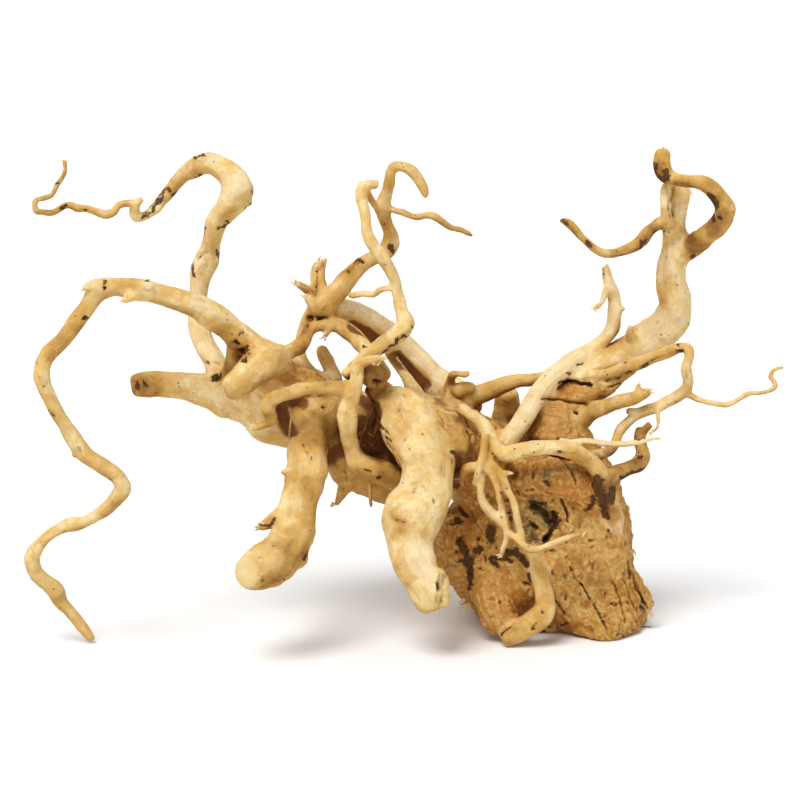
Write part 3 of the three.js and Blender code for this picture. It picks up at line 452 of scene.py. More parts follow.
# Stubs and roots on the back
route("back_floor_root", [44, 62, 78, 90, 95], [
    [560, 520, 22], [566, 548, 18], [560, 570, 14], [549, 585, 11.5], [541, 591, 8],
])
route("back_ridge", [40, 56, 62, 56, 40], [
    [520, 440, 16], [516, 470, 18], [508, 505, 19], [498, 540, 17], [492, 565, 12],
])
route("back_lower_ridge", [40, 56, 58, 50], [
    [560, 470, 14], [584, 510, 15], [598, 556, 15], [592, 606, 12],
])
route("back_left_ridge", [34, 48, 50], [[468, 506, 12], [478, 552, 14], [500, 604, 13]])
route("back_side_root", [30, 52, 66, 70], [[594, 474, 12], [605, 502, 12], [607, 530, 12], [600, 556, 9]])
route("back_stub", [34, 54, 68, 80], [[410, 424, 18], [404, 428, 15], [393, 432, 12], [380, 430, 8.5]])
route("back_thin_root", [40, 58, 64, 60, 50], [
    [330, 408, 9], [352, 414, 7], [384, 408, 6], [418, 410, 6], [448, 424, 8],
])

# The stump's rough bulk: [across, down, depth, half width, half height, half depth]
MASSES = [
    [536, 548, 8, 92, 78, 57],
    [476, 545, 4, 43, 48, 40],
    [543, 500, 4, 80, 46, 44],
    [590, 548, 8, 41, 78, 44],
    [598, 615, 4, 49, 44, 52],
    [540, 604, 20, 66, 48, 50],
    [545, 530, 36, 70, 66, 36],
    [574, 470, 12, 34, 30, 30],
]
MASS_SUBDIVISIONS = 5
STUMP_GRAIN = Vector((0.62, 0.1, -0.78)).normalized()  # old fibres run down to the right
TRUNK_TURNS_ROUGH = (440, 475)  # between these places across

# Limbs that belong to the rough, orange stump, and how much; all the others are smooth and pale
STUMPY = {
    "ridge": 1.0, "stump": 1.0, "foot_lobe": 0.75, "back_floor": 0.8, "back_side": 0.95,
    "back_stub": 0.15, "trunk_front": 0.55, "neck": 0.6, "trunk_back": 0.6, "underside": 0.3,
    "behind": 0.3, "recess": 0.6, "broken_stub": 0.3, "bent_root_foot": 0.9,
}


def bend(points):
    """A smooth path through a route's stations, with its radius, stepped by the radius."""
    ends = np.vstack([2 * points[0] - points[1], points, 2 * points[-1] - points[-2]])
    path = []
    for i in range(1, len(ends) - 2):
        a, b, c, d = ends[i - 1:i + 3]
        length = np.linalg.norm(c[:3] - b[:3])
        count = max(1, round(length / max(LEAST_STEP, STEP_RADII * min(b[3], c[3]))))
        for t in np.arange(count) / count:
            curve = 2 * b + (c - a) * t + (2 * a - 5 * b + 4 * c - d) * t**2 + (3 * b - a - 3 * c + d) * t**3
            path.append(curve / 2)
    path.append(points[-1])
    path = np.array(path)
    path[:, 3] = np.maximum(path[:, 3], LEAST_RADIUS_SHARE * points[:, 3].min())
    return path


def frames_along(path):
    """Unit directions along, beside and over a path, carried on without twist."""
    tangents = np.gradient(path[:, :3], axis=0)
    tangents /= np.linalg.norm(tangents, axis=1)[:, None]
    side = np.cross(tangents[0], (0, 1, 0) if abs(tangents[0][2]) > 0.9 else (0, 0, 1))
    sides = []
    for tangent in tangents:
        side = side - tangent * side.dot(tangent)
        side = side / np.linalg.norm(side)
        sides.append(side)
    sides = np.array(sides)
    return tangents, sides, np.cross(tangents, sides)


def ring_matrix(station, tangent, side, over):
    """Takes a flat unit circle to a ring around the path."""
    radius = station[3]
    return Matrix((
        (*(radius * np.array((side[0], over[0], tangent[0]))), station[0]),
        (*(radius * np.array((side[1], over[1], tangent[1]))), station[1]),
        (*(radius * np.array((side[2], over[2], tangent[2]))), station[2]),
        (0, 0, 0, 1),
    ))


def sweep(path, frames, sides=RING_SIDES):
    """A closed limb: a disc that is drawn out from station to station."""
    bm = bmesh.new()
    rings = [ring_matrix(*row) for row in zip(path, *frames)]
    bmesh.ops.create_circle(bm, cap_ends=True, radius=1, segments=sides, matrix=rings[0])
    face = bm.faces[:][0]
    for before, after in zip(rings, rings[1:]):
        made = bmesh.ops.extrude_face_region(bm, geom=[face])
        face = next(f for f in made["geom"] if isinstance(f, bmesh.types.BMFace))
        moved = [v for v in made["geom"] if isinstance(v, bmesh.types.BMVert)]
        bmesh.ops.transform(bm, matrix=after @ before.inverted(), verts=moved)
    bmesh.ops.recalc_face_normals(bm, faces=bm.faces)
    return bm


def lump(across, down, depth, half_width, half_height, half_depth):
    """A ball of the stump's bulk."""
    spot, unit = place(across, down, depth)
    bm = bmesh.new()
    shape = Matrix.Diagonal((half_width * unit, half_depth * MM, half_height * unit, 1))
    bmesh.ops.create_icosphere(
        bm, subdivisions=MASS_SUBDIVISIONS, radius=1, matrix=Matrix.Translation(spot) @ shape)
    return bm


def mesh_from(bm, name):
    mesh = bpy.data.meshes.new(name)
    bm.to_mesh(mesh)
    bm.free()
    return mesh


def add_object(name, mesh):
    piece = bpy.data.objects.new(name, mesh)
    bpy.context.scene.collection.objects.link(piece)
    return piece


def evaluated(holder):
    """The holder's mesh as its modifier leaves it; the holder is removed."""
    graph = bpy.context.evaluated_depsgraph_get()
    result = bpy.data.meshes.new_from_object(holder.evaluated_get(graph))
    bpy.data.objects.remove(holder)
    return result


def fused(mesh):
    """One even skin around all the closed meshes that lie in each other."""
    holder = add_object("holder", mesh)
    remesh = holder.modifiers.new("fuse", "REMESH")
    remesh.mode = "VOXEL"
    remesh.voxel_size = VOXEL
    remesh.adaptivity = 0
    return evaluated(holder)


def thinned(mesh, most, kept):
    """The mesh thinned, but not at the points to keep, until it has at most so many triangles."""
    count = sum(len(p.vertices) - 2 for p in mesh.polygons)
    if count <= most:
        return mesh
    holder = add_object("holder", mesh)
    plain = holder.vertex_groups.new(name="plain")
    others = np.ones(len(mesh.vertices), bool)
    others[kept] = False
    plain.add(np.flatnonzero(others).tolist(), 1.0, "REPLACE")
    thin = holder.modifiers.new("thin", "DECIMATE")
    thin.ratio = most / count
    thin.use_collapse_triangulate = True
    thin.vertex_group = "plain"
    return evaluated(holder)


def inside_box(points):
    """The points, with those past the solid's box moved onto it."""
    return np.clip(points, np.array(CAD_BOX[0]), np.array(CAD_BOX[1]))


def coordinates(mesh):
    flat = np.empty(3 * len(mesh.vertices), dtype=np.float32)
    mesh.vertices.foreach_get("co", flat)
    return flat.reshape(-1, 3).astype(float)


def normals_of(mesh):
    flat = np.empty(3 * len(mesh.vertices), dtype=np.float32)
    mesh.vertex_normals.foreach_get("vector", flat)
    return flat.reshape(-1, 3).astype(float)


def edges_of(mesh):
    flat = np.empty(2 * len(mesh.edges), dtype=np.int32)
    mesh.edges.foreach_get("vertices", flat)
    return flat.reshape(-1, 2)


def put_coordinates(mesh, points):
    mesh.vertices.foreach_set("co", points.astype(np.float32).ravel())
    mesh.update()


def smoothed(values, edges, rounds, share=0.5):
    """Values drawn towards their neighbours' mean, round after round."""
    values = values.astype(float).copy()
    rows = values.reshape(len(values), -1)
    share = np.broadcast_to(share, len(values))[:, None]
    count = np.bincount(edges.ravel(), minlength=len(rows))[:, None]
    for _ in range(rounds):
        total = np.empty_like(rows)
        for k in range(rows.shape[1]):
            total[:, k] = np.bincount(edges[:, 0], rows[edges[:, 1], k], len(rows))
            total[:, k] += np.bincount(edges[:, 1], rows[edges[:, 0], k], len(rows))
        rows += share * (total / np.maximum(count, 1) - rows)
    return values


def noise(points, seed):
    """Smooth noise from -1 to 1, with about one swell in each unit of the points' space."""
    cell = np.floor(points).astype(np.int64)
    part = points - cell
    part = part * part * (3 - 2 * part)
    total = np.zeros(len(points))
    for corner in range(8):
        step = np.array([corner & 1, corner >> 1 & 1, corner >> 2 & 1])
        ix, iy, iz = (cell + step).T
        mixed = (ix * 374761393 + iy * 668265263 + iz * 1440662683 + seed * 974634777) & 0xFFFFFFFF
        mixed = ((mixed ^ (mixed >> 13)) * 1274126177) & 0xFFFFFFFF
        value = ((mixed ^ (mixed >> 16)) & 0xFFFF) / 0xFFFF
        total += value * np.prod(np.where(step == 1, part, 1 - part), axis=1)
    return 2 * total - 1


def layered(points, seed, octaves=3):
    """Noise with finer and lower noise on it; it takes a seed for each octave."""
    total, height = 0, 1
    for octave in range(octaves):
        total = total + height * noise(points * 2**octave, seed + octave)
        height /= 2
    return total


def window(values, low, high):
    """0 below low, 1 above high, and a smooth ramp between."""
    t = np.clip((values - low) / (high - low), 0, 1)
    return t * t * (3 - 2 * t)


def on_sheet(points):
    """Where points show on the front sheet: across and down, and how far off they are."""
    away = (TARGET - EYE).normalized()
    offset = points - np.array(EYE)
    distance = offset @ np.array(away)
    flat = offset * (EYE_DISTANCE / distance)[:, None]
    across = SHEET_CENTRE + flat[:, 0] / UNIT
    down = SHEET_CENTRE - flat @ np.array(SHEET_UP) / UNIT
    return across, down, distance


def join(whole, bm):
    """Adds one closed mesh to the whole and tells how many faces it has."""
    part = mesh_from(bm, "part")
    count = len(part.polygons)
    whole.from_mesh(part)
    bpy.data.meshes.remove(part)
    return count


def loose_limbs():
    """All limbs and lumps as loose closed meshes, a tree to find their faces, the limb of each
    face, by its number or -1 for a lump, and the limbs' paths."""
    whole = bmesh.new()
    paths, owners = [], []
    for points in ROUTES.values():
        path = bend(points)
        owners += [len(paths)] * join(whole, sweep(path, frames_along(path)))
        paths.append(path)
    for row in MASSES:
        owners += [-1] * join(whole, lump(*row))
    for vertex in whole.verts:
        vertex.co.z = max(vertex.co.z, 0)
    tree = BVHTree.FromBMesh(whole)
    return mesh_from(whole, "limbs"), tree, np.array(owners), paths


def straightened(points, owner, paths):
    """Each point's place in its limb's own straightened wood, its limb's radius there and
    how far it lies from the limb's nearer end; on the lumps, in the stump's slanted grain."""
    over = STUMP_GRAIN.cross(Vector((0, 1, 0))).normalized()
    axes = np.array([over, STUMP_GRAIN.cross(over), STUMP_GRAIN])
    grain = points @ axes.T
    radius = np.full(len(points), STUMP_RADIUS)
    end = np.full(len(points), FAR_FROM_ENDS)
    for i, path in enumerate(paths):
        mine = np.flatnonzero(owner == i)
        if not len(mine):
            continue
        spots = points[mine]
        tangents, sides, overs = frames_along(path)
        gaps = np.linalg.norm(spots[:, None] - path[None, :, :3], axis=2)
        near = gaps.argmin(axis=1)
        steps = np.linalg.norm(np.diff(path[:, :3], axis=0), axis=1)
        along = np.concatenate([[0], np.cumsum(steps)])
        offset = spots - path[near, :3]
        lengthwise = along[near] + (offset * tangents[near]).sum(axis=1)
        grain[mine, 0] = (offset * sides[near]).sum(axis=1)
        grain[mine, 1] = (offset * overs[near]).sum(axis=1)
        grain[mine, 2] = lengthwise + GRAIN_SHIFT * i
        radius[mine] = path[near, 3]
        end[mine] = np.minimum(lengthwise, along[-1] - lengthwise)
    return grain, radius, end


# Cracks, clefts and hollows in the front: width in sheet units, depth in millimetres, points
CARVINGS = [
    (1.3, 1.1, [[299, 439], [304, 448], [312, 461]]), (0.9, 0.7, [[304, 438], [310, 446], [315, 457]]),
    (1.2, 1.0, [[423, 486], [429, 494], [434, 502]]), (1.8, 2.2, [[433, 501], [434, 503]]),
    (0.9, 0.5, [[397, 549], [412, 572], [428, 600]]), (0.9, 0.5, [[405, 546], [420, 568], [436, 592]]),
    (0.9, 0.5, [[414, 544], [426, 560], [437, 578]]), (0.9, 0.5, [[394, 556], [406, 580], [420, 602]]),
    (1.8, 2.2, [[541, 399], [560, 400], [588, 404]]),
    (2.0, 3.0, [[560, 383], [570, 380], [580, 384], [592, 385]]),
    (1.2, 3.0, [[673, 188], [670, 198], [669, 208], [671, 217]]), (2.2, 4, [[236, 341], [239, 344]]),
    (3.6, 5, [[241, 352], [244, 358]]), (1.2, 1.4, [[207, 362], [209, 363]]),
    (1.5, 2.0, [[216, 363], [219, 365]]), (2.6, 2.0, [[214, 379], [220, 376]]),
    (1.0, 0.9, [[197, 258], [201, 254], [207, 253]]), (1.2, 1.0, [[212, 250], [215, 255], [214, 259]]),
    (6.0, 0.9, [[203, 258], [207, 266]]), (1.2, 0.9, [[187, 166], [189, 172], [194, 177]]),
    (1.2, 1.0, [[195, 158], [200, 155], [206, 157]]), (1.2, 1.0, [[193, 162], [198, 161], [203, 164]]),
    (2.6, 3.4, [[306, 316], [318, 318], [326, 318]]), (8.5, 7, [[377, 385], [381, 387]]),
    (2.0, 3, [[575, 412], [577, 414]]), (1.8, 2.4, [[103, 288], [105, 288]]),
    (1.3, 1.6, [[103, 284], [105, 283]]), (1.5, 2.0, [[83, 318], [85, 317]]),
    (1.3, 1.8, [[317, 264], [317, 280], [315, 298]]), (1.0, 1.2, [[312, 268], [313, 284], [312, 298]]),
    (1.1, 1.2, [[323, 268], [325, 282], [330, 294]]), (1.2, 1.0, [[350, 272], [357, 262]]),
    (1.4, 1.4, [[396, 342], [401, 338], [408, 333]]), (2.4, 2.4, [[466, 433], [470, 440]]),
    (1.1, 1.0, [[527, 592], [540, 606], [547, 618]]), (1.0, 0.9, [[345, 312], [366, 318], [392, 331]]),
    (1.2, 1.2, [[440, 540], [446, 556], [452, 574]]), (1.3, 1.1, [[439, 574], [438, 588], [436, 602]]),
    (2.6, 3.0, [[438, 583], [438, 589]]), (1.1, 0.9, [[443, 578], [443, 590], [441, 606]]),
    (1.2, 2.2, [[606, 381], [618, 378], [630, 370]]), (1.2, 2.0, [[609, 387], [618, 384], [626, 381]]),
    (1.0, 1.0, [[640, 367], [652, 360], [664, 356]]), (1.4, 1.8, [[447, 404], [462, 418], [474, 436]]),
    (1.2, 1.4, [[436, 408], [444, 424], [452, 436]]), (1.4, 1.2, [[499, 637], [504, 631], [510, 628]]),
    (1.4, 1.8, [[382, 424], [388, 433], [392, 441]]), (1.2, 1.2, [[395, 450], [400, 456], [403, 464]]),
    (1.4, 1.6, [[522, 457], [540, 458], [556, 453]]), (1.4, 2.4, [[662, 230], [664, 237]]),
    (1.6, 1.6, [[357, 476], [364, 475]]), (1.4, 1.4, [[345, 468], [347, 482]]),
]

# The same in the stump's own wood, which roots cross in front
STUMP_CARVINGS = [
    (1.6, 2.2, [[563, 463], [570, 473], [575, 484]]), (2.0, 2.6, [[562, 499], [565, 510], [568, 521]]),
    (1.4, 1.4, [[570, 567], [578, 580], [586, 590], [591, 600]]),
    (1.5, 1.8, [[551, 596], [557, 605], [565, 614]]), (1.6, 1.8, [[594, 604], [600, 614], [607, 629]]),
    (6, 3, [[533, 507], [541, 511], [551, 521]]), (3.4, 3.4, [[544, 538], [549, 534], [556, 524]]),
    (3.0, 4, [[543, 541], [548, 537]]), (3, 3, [[554, 512], [557, 517]]),
    (3.0, 2.4, [[530, 523], [535, 527]]), (2.6, 2.6, [[628, 562], [637, 588], [647, 611]]),
    (1.4, 1.6, [[613, 582], [620, 600], [627, 622]]), (1.2, 1.4, [[622, 578], [631, 600], [638, 620]]),
]

# Dark bark and scars on the foremost wood, and painted shade in some small holes and gaps: half width,
# strength and a line of [across, down]
STAINS = [
    (2.0, 1.0, [[529, 574], [531, 580]]), (5.4, 1.0, [[597, 479], [599, 490], [604, 503]]),
    (3.0, 1.0, [[592, 497], [590, 507]]), (2.8, 1.0, [[611, 490], [610, 502]]),
    (3.4, 0.9, [[603, 504], [606, 516]]), (1.5, 0.9, [[142, 219], [150, 213], [157, 204], [163, 197]]),
    (2.0, 0.55, [[146, 214], [158, 199], [166, 188]]), (1.2, 0.8, [[168, 187], [171, 192]]),
    (1.2, 0.8, [[172, 195], [177, 193]]), (1.4, 0.9, [[195, 158], [200, 155], [206, 156]]),
    (1.4, 0.9, [[196, 177], [201, 174]]), (2.2, 1.0, [[218, 229], [224, 226]]),
    (1.2, 0.8, [[227, 221], [229, 225]]), (1.3, 0.8, [[206, 228], [204, 233]]),
    (1.6, 0.8, [[251, 191], [253, 196]]), (1.0, 0.8, [[244, 207], [251, 204]]),
    (1.4, 0.7, [[212, 276], [213, 281]]), (1.2, 0.7, [[216, 250], [217, 257]]),
    (1.4, 0.7, [[193, 264], [195, 277]]), (1.6, 0.6, [[198, 259], [204, 254]]),
    (1.4, 0.9, [[207, 362], [209, 363]]), (1.8, 1.0, [[216, 363], [220, 366]]),
    (2.4, 0.9, [[213, 380], [221, 376]]), (1.8, 0.8, [[235, 342], [242, 344]]),
    (4.0, 0.9, [[241, 352], [247, 349]]), (3.0, 1.0, [[242, 357], [244, 360]]),
    (1.6, 0.7, [[240, 334], [243, 333]]), (1.4, 0.7, [[247, 328], [250, 331]]),
    (1.6, 0.8, [[144, 280], [148, 281]]), (1.8, 1.0, [[103, 288], [105, 288]]),
    (1.3, 0.8, [[103, 284], [105, 282]]), (1.6, 1.0, [[83, 318], [86, 317]]),
    (1.2, 0.7, [[131, 302], [133, 303]]), (1.3, 0.7, [[47, 408], [53, 414]]),
    (1.2, 0.7, [[75, 457], [78, 458]]), (1.0, 0.8, [[109, 479], [112, 480]]),
    (0.9, 0.8, [[41, 543], [43, 545]]), (1.2, 0.8, [[55, 184], [59, 183]]),
    (1.3, 0.9, [[60, 208], [66, 205]]), (1.2, 0.7, [[81, 210], [87, 210]]),
    (1.3, 0.8, [[34, 213], [35, 215]]), (2.4, 0.9, [[390, 246], [392, 250]]),
    (1.3, 0.7, [[349, 273], [356, 262]]), (1.5, 0.7, [[358, 261], [362, 262]]),
    (2.4, 1.0, [[397, 340], [404, 336]]), (1.3, 0.9, [[383, 352], [391, 345]]),
    (1.2, 0.8, [[411, 325], [413, 331]]), (1.2, 0.7, [[392, 345], [398, 342]]),
    (1.2, 0.8, [[363, 346], [368, 348]]), (1.1, 0.8, [[322, 407], [323, 409]]),
    (1.2, 0.8, [[311, 318], [326, 319]]), (1.0, 0.45, [[317, 270], [317, 278], [314, 296]]),
    (1.4, 0.8, [[305, 318], [308, 326]]), (1.0, 0.6, [[301, 441], [312, 459]]),
    (1.0, 0.7, [[318, 494], [317, 506]]), (1.1, 0.8, [[313, 545], [303, 560]]),
    (1.4, 0.9, [[260, 525], [270, 525], [276, 519]]), (1.2, 0.7, [[264, 541], [266, 540]]),
    (1.0, 0.6, [[282, 579], [283, 580]]), (1.0, 0.7, [[261, 576], [262, 580]]),
    (4.0, 0.9, [[655, 166], [656, 176], [664, 180]]), (3.0, 1.0, [[666, 172], [667, 180]]),
    (2.2, 1.0, [[710, 194], [716, 200], [718, 206]]), (1.5, 1.0, [[715, 207], [714, 220]]),
    (1.4, 0.8, [[720, 217], [722, 218]]), (1.4, 0.7, [[734, 212], [736, 215]]),
    (1.6, 0.8, [[691, 257], [694, 255]]), (2.0, 0.9, [[587, 243], [589, 246]]),
    (1.3, 0.8, [[557, 219], [558, 221]]), (1.3, 0.6, [[563, 220], [572, 228]]),
    (1.4, 0.9, [[641, 240], [640, 248]]), (1.2, 0.7, [[643, 243], [656, 231]]),
    (2.0, 1.0, [[663, 230], [664, 239]]), (1.0, 0.9, [[661, 243], [661, 251]]),
    (1.4, 0.7, [[687, 323], [689, 325]]), (1.0, 0.5, [[606, 381], [618, 378], [631, 370]]),
    (1.0, 0.45, [[609, 387], [626, 381]]), (1.0, 0.5, [[640, 367], [654, 360], [668, 355]]),
    (1.2, 0.8, [[678, 345], [680, 347]]), (1.3, 0.9, [[678, 351], [683, 350]]),
    (1.2, 0.8, [[623, 363], [627, 362]]), (1.2, 0.8, [[577, 365], [582, 363]]),
    (1.3, 0.8, [[567, 373], [570, 373]]), (2.4, 1.0, [[560, 383], [570, 380], [577, 383], [590, 385]]),
    (1.2, 0.7, [[601, 265], [604, 275]]), (1.2, 0.7, [[641, 461], [640, 449]]),
    (1.8, 0.9, [[646, 466], [634, 473], [619, 477]]), (2.0, 0.9, [[639, 458], [641, 457]]),
    (1.2, 0.8, [[636, 440], [640, 439]]), (1.2, 0.8, [[558, 451], [565, 452]]),
    (1.2, 0.8, [[572, 452], [576, 452]]), (1.8, 0.8, [[491, 450], [493, 454]]),
    (1.2, 0.7, [[499, 484], [501, 492]]), (1.2, 0.9, [[500, 637], [505, 631], [511, 628]]),
    (1.2, 0.7, [[536, 622], [531, 629]]), (1.3, 0.7, [[542, 612], [543, 613]]),
    (1.0, 0.7, [[499, 601], [500, 602]]), (1.0, 0.6, [[404, 522], [397, 519]]),
    (3.0, 0.9, [[378, 384], [386, 388]]), (1.6, 0.9, [[368, 390], [373, 404], [376, 416]]),
    (1.2, 0.8, [[380, 514], [382, 519]]), (1.6, 0.7, [[376, 477], [379, 476]]),
    (1.2, 0.6, [[363, 468], [370, 471]]), (1.6, 0.8, [[450, 452], [455, 460]]),
    (1.2, 0.9, [[381, 423], [386, 431]]), (1.2, 0.7, [[387, 436], [392, 441]]),
    (4.5, 0.8, [[132, 391], [137, 387]]), (1.2, 0.7, [[144, 382], [147, 386]]),
]

# Dark marks on the stump's own wood, in the same columns
STUMP_STAINS = [
    (2.2, 1.0, [[461, 512], [466, 517]]), (2.4, 1.0, [[457, 521], [461, 522]]),
    (5.0, 1.0, [[491, 528], [493, 540]]), (2.0, 0.9, [[503, 496], [504, 501]]),
    (3.6, 1.0, [[461, 541], [465, 551], [469, 562], [472, 588]]), (3.2, 1.0, [[480, 549], [471, 558]]),
    (2.4, 0.9, [[461, 561], [468, 562]]), (2.4, 1.0, [[491, 560], [500, 567]]),
    (2.2, 1.0, [[492, 558], [506, 558], [512, 562]]), (3.4, 1.0, [[507, 552], [518, 554], [527, 563]]),
    (1.8, 0.9, [[612, 525], [609, 531]]), (4.4, 0.9, [[556, 516], [557, 524]]),
    (3.0, 0.9, [[543, 542], [550, 534]]), (2.4, 0.8, [[533, 505], [545, 503]]),
    (2.6, 0.9, [[531, 524], [536, 527]]), (2.4, 0.8, [[546, 515], [552, 527]]),
    (2.2, 0.8, [[547, 481], [550, 485]]), (1.6, 0.8, [[559, 458], [561, 460]]),
    (1.8, 0.8, [[509, 511], [512, 528]]), (1.2, 0.7, [[551, 596], [564, 613]]),
    (1.1, 0.8, [[582, 584], [591, 600]]), (1.2, 0.8, [[596, 606], [607, 628]]),
    (1.4, 0.8, [[562, 625], [568, 623]]), (1.2, 0.7, [[478, 568], [482, 570]]),
    (1.4, 0.6, [[512, 611], [517, 614]]), (1.4, 0.8, [[628, 562], [628, 578]]),
    (1.4, 0.8, [[640, 606], [648, 612]]),
]

# Greenish grey, half rotten wood, and a greenish grey painted shade under the knuckle's lobe: half width,
# strength and a line of [across, down]
MOSS = [
    (6, 0.6, [[441, 577], [438, 606]]), (7, 0.3, [[240, 394], [262, 374]]),
]

# Greenish grey, half rotten wood on the stump's own wood, in the same columns
STUMP_MOSS = [
    (8, 0.9, [[536, 504], [543, 511], [548, 522]]), (7, 0.7, [[527, 528], [533, 540]]),
    (8, 0.45, [[547, 475], [551, 484]]), (6, 0.5, [[520, 508], [524, 518]]),
]

# Broad soft washes on the front wood: half width, how much browner and a line of [across, down].
# They hold the wood's own browner and paler tones, painted shade on undersides and shaded parts, and painted
# highlight in the rows below zero.
TONES_AND_PAINTED_LIGHT = [
    (8, 0.35, [[172, 192], [186, 172]]), (7, 0.25, [[211, 228], [213, 246], [206, 262]]),
    (6, 0.3, [[226, 167], [235, 170]]), (7, 0.35, [[240, 200], [252, 194]]),
    (8, 0.25, [[222, 216], [234, 206]]), (6, 0.35, [[193, 164], [198, 172]]),
    (9, 0.4, [[74, 330], [84, 311]]), (8, 0.5, [[54, 350], [62, 341], [72, 332]]),
    (9, 0.25, [[95, 286], [106, 292]]), (8, 0.3, [[118, 284], [136, 289]]),
    (5, 0.3, [[160, 306], [190, 314], [216, 326]]), (9, 0.5, [[222, 330], [246, 345]]),
    (7, 0.6, [[232, 344], [246, 354]]), (7, 0.4, [[214, 358], [222, 378]]),
    (8, 0.4, [[272, 350], [284, 372]]), (9, 0.25, [[250, 392], [270, 372]]),
    (6, 0.35, [[286, 356], [304, 346], [322, 326]]), (6, 0.5, [[304, 312], [304, 330], [300, 352]]),
    (7, 0.4, [[316, 262], [316, 290]]), (8, 0.35, [[322, 312], [338, 300]]),
    (6, 0.3, [[346, 276], [362, 262]]), (7, 0.45, [[372, 351], [402, 334]]),
    (7, 0.5, [[350, 386], [352, 404]]), (7, 0.4, [[340, 384], [348, 396]]),
    (7, 0.4, [[380, 330], [396, 345]]), (8, 0.5, [[404, 356], [424, 376]]),
    (8, 0.5, [[426, 380], [438, 392]]), (8, 0.3, [[312, 398], [330, 404]]),
    (11, 0.45, [[318, 416], [328, 440]]), (7, 0.6, [[324, 432], [330, 448]]),
    (8, 0.4, [[302, 428], [310, 440]]), (10, 0.35, [[296, 476], [312, 486]]),
    (6, 0.5, [[318, 462], [319, 500], [314, 536]]), (6, 0.4, [[312, 540], [298, 566]]),
    (8, 0.35, [[264, 582], [288, 578]]), (7, 0.3, [[286, 512], [304, 520]]),
    (7, 0.6, [[262, 526], [275, 518]]), (14, 0.2, [[398, 402], [410, 412]]),
    (9, 0.25, [[394, 418], [400, 428]]), (7, 0.3, [[396, 516], [404, 524]]),
    (6, 0.4, [[395, 536], [404, 526]]), (9, 0.3, [[446, 452], [449, 500]]),
    (8, 0.35, [[362, 470], [380, 474]]), (9, 0.4, [[392, 400], [380, 384]]),
    (9, 0.5, [[366, 366], [384, 372]]), (10, 0.4, [[386, 440], [398, 462]]),
    (12, 0.4, [[430, 404], [452, 430]]), (8, 0.4, [[460, 436], [460, 456]]),
    (9, 0.4, [[552, 400], [572, 392]]), (8, 0.35, [[588, 404], [600, 396]]),
    (8, 0.35, [[606, 352], [628, 340]]), (8, 0.3, [[598, 372], [640, 366]]),
    (5, 0.4, [[600, 377], [640, 362], [676, 350]]), (8, 0.3, [[664, 298], [670, 284]]),
    (6, 0.25, [[662, 250], [660, 266]]), (11, 0.9, [[684, 243], [694, 252]]),
    (8, 0.5, [[700, 240], [712, 226]]), (6, 0.5, [[714, 222], [722, 214]]),
    (6, 0.5, [[706, 190], [716, 200]]), (6, 0.4, [[708, 181], [714, 183]]),
    (8, 0.6, [[660, 160], [662, 176]]), (5, 0.5, [[676, 184], [690, 184]]),
    (8, 0.5, [[640, 246], [654, 232]]), (5, 0.5, [[560, 220], [576, 234]]),
    (6, 0.3, [[586, 242], [594, 250]]), (4, 0.4, [[602, 268], [604, 284]]),
    (8, 0.5, [[602, 480], [604, 506]]), (12, 1.3, [[136, 386], [151, 385]]),
    (5, 0.3, [[44, 384], [50, 400]]), (5, 0.4, [[50, 410], [58, 420]]),
    (4, 0.3, [[100, 470], [112, 478]]), (5, 0.35, [[104, 514], [118, 500]]),
    (4, 0.3, [[46, 544], [78, 528]]), (4, 0.35, [[55, 598], [60, 596]]),
    (3, 0.35, [[40, 212], [62, 208], [90, 210]]), (12, -0.3, [[243, 562], [250, 578]]),
    (14, -0.2, [[236, 182], [238, 196]]), (10, -0.2, [[676, 320], [650, 330]]),
    (12, -0.25, [[418, 552], [420, 584]]), (8, -0.2, [[360, 306], [420, 344]]),
    (7, -0.3, [[664, 200], [680, 214]]), (6, 0.3, [[262, 402], [280, 392], [330, 384], [345, 390]]),
    (9, 0.5, [[486, 440], [498, 475], [505, 500]]),
    (9, 0.45, [[540, 560], [545, 600], [538, 618], [505, 635]]), (10, 0.4, [[230, 390], [250, 376]]),
    (10, 0.25, [[255, 368], [268, 356]]), (12, 0.35, [[230, 408], [262, 420]]),
    (8, 0.5, [[575, 454], [598, 468]]), (14, 0.15, [[420, 450], [428, 490]]),
    (12, 0.3, [[288, 530], [292, 550]]), (9, -0.35, [[200, 300], [206, 345]]),
    (8, -0.35, [[520, 415], [560, 375]]), (6, 0.25, [[690, 184], [706, 186]]),
    (10, 0.5, [[602, 482], [615, 520], [622, 545]]), (7, 0.3, [[410, 575], [424, 600]]),
]

# Browner and paler patches on the stump's own wood, in the same columns
STUMP_WASHES = [
    (14, 0.4, [[440, 520], [446, 570]]), (16, 0.4, [[460, 510], [470, 530]]),
    (14, 0.3, [[455, 575], [475, 600]]), (9, 0.5, [[505, 606], [524, 600]]),
    (9, 0.4, [[578, 486], [590, 500]]), (9, 0.5, [[560, 486], [572, 504]]),
    (12, 0.3, [[560, 620], [600, 628]]), (12, 0.35, [[630, 590], [640, 622]]),
    (8, 0.4, [[524, 470], [540, 470]]), (16, -0.4, [[596, 575], [612, 612]]),
    (18, -0.4, [[585, 530], [612, 570]]), (14, -0.3, [[556, 560], [575, 600]]),
    (12, -0.2, [[530, 470], [560, 480]]), (9, -0.2, [[492, 600], [496, 616]]),
]
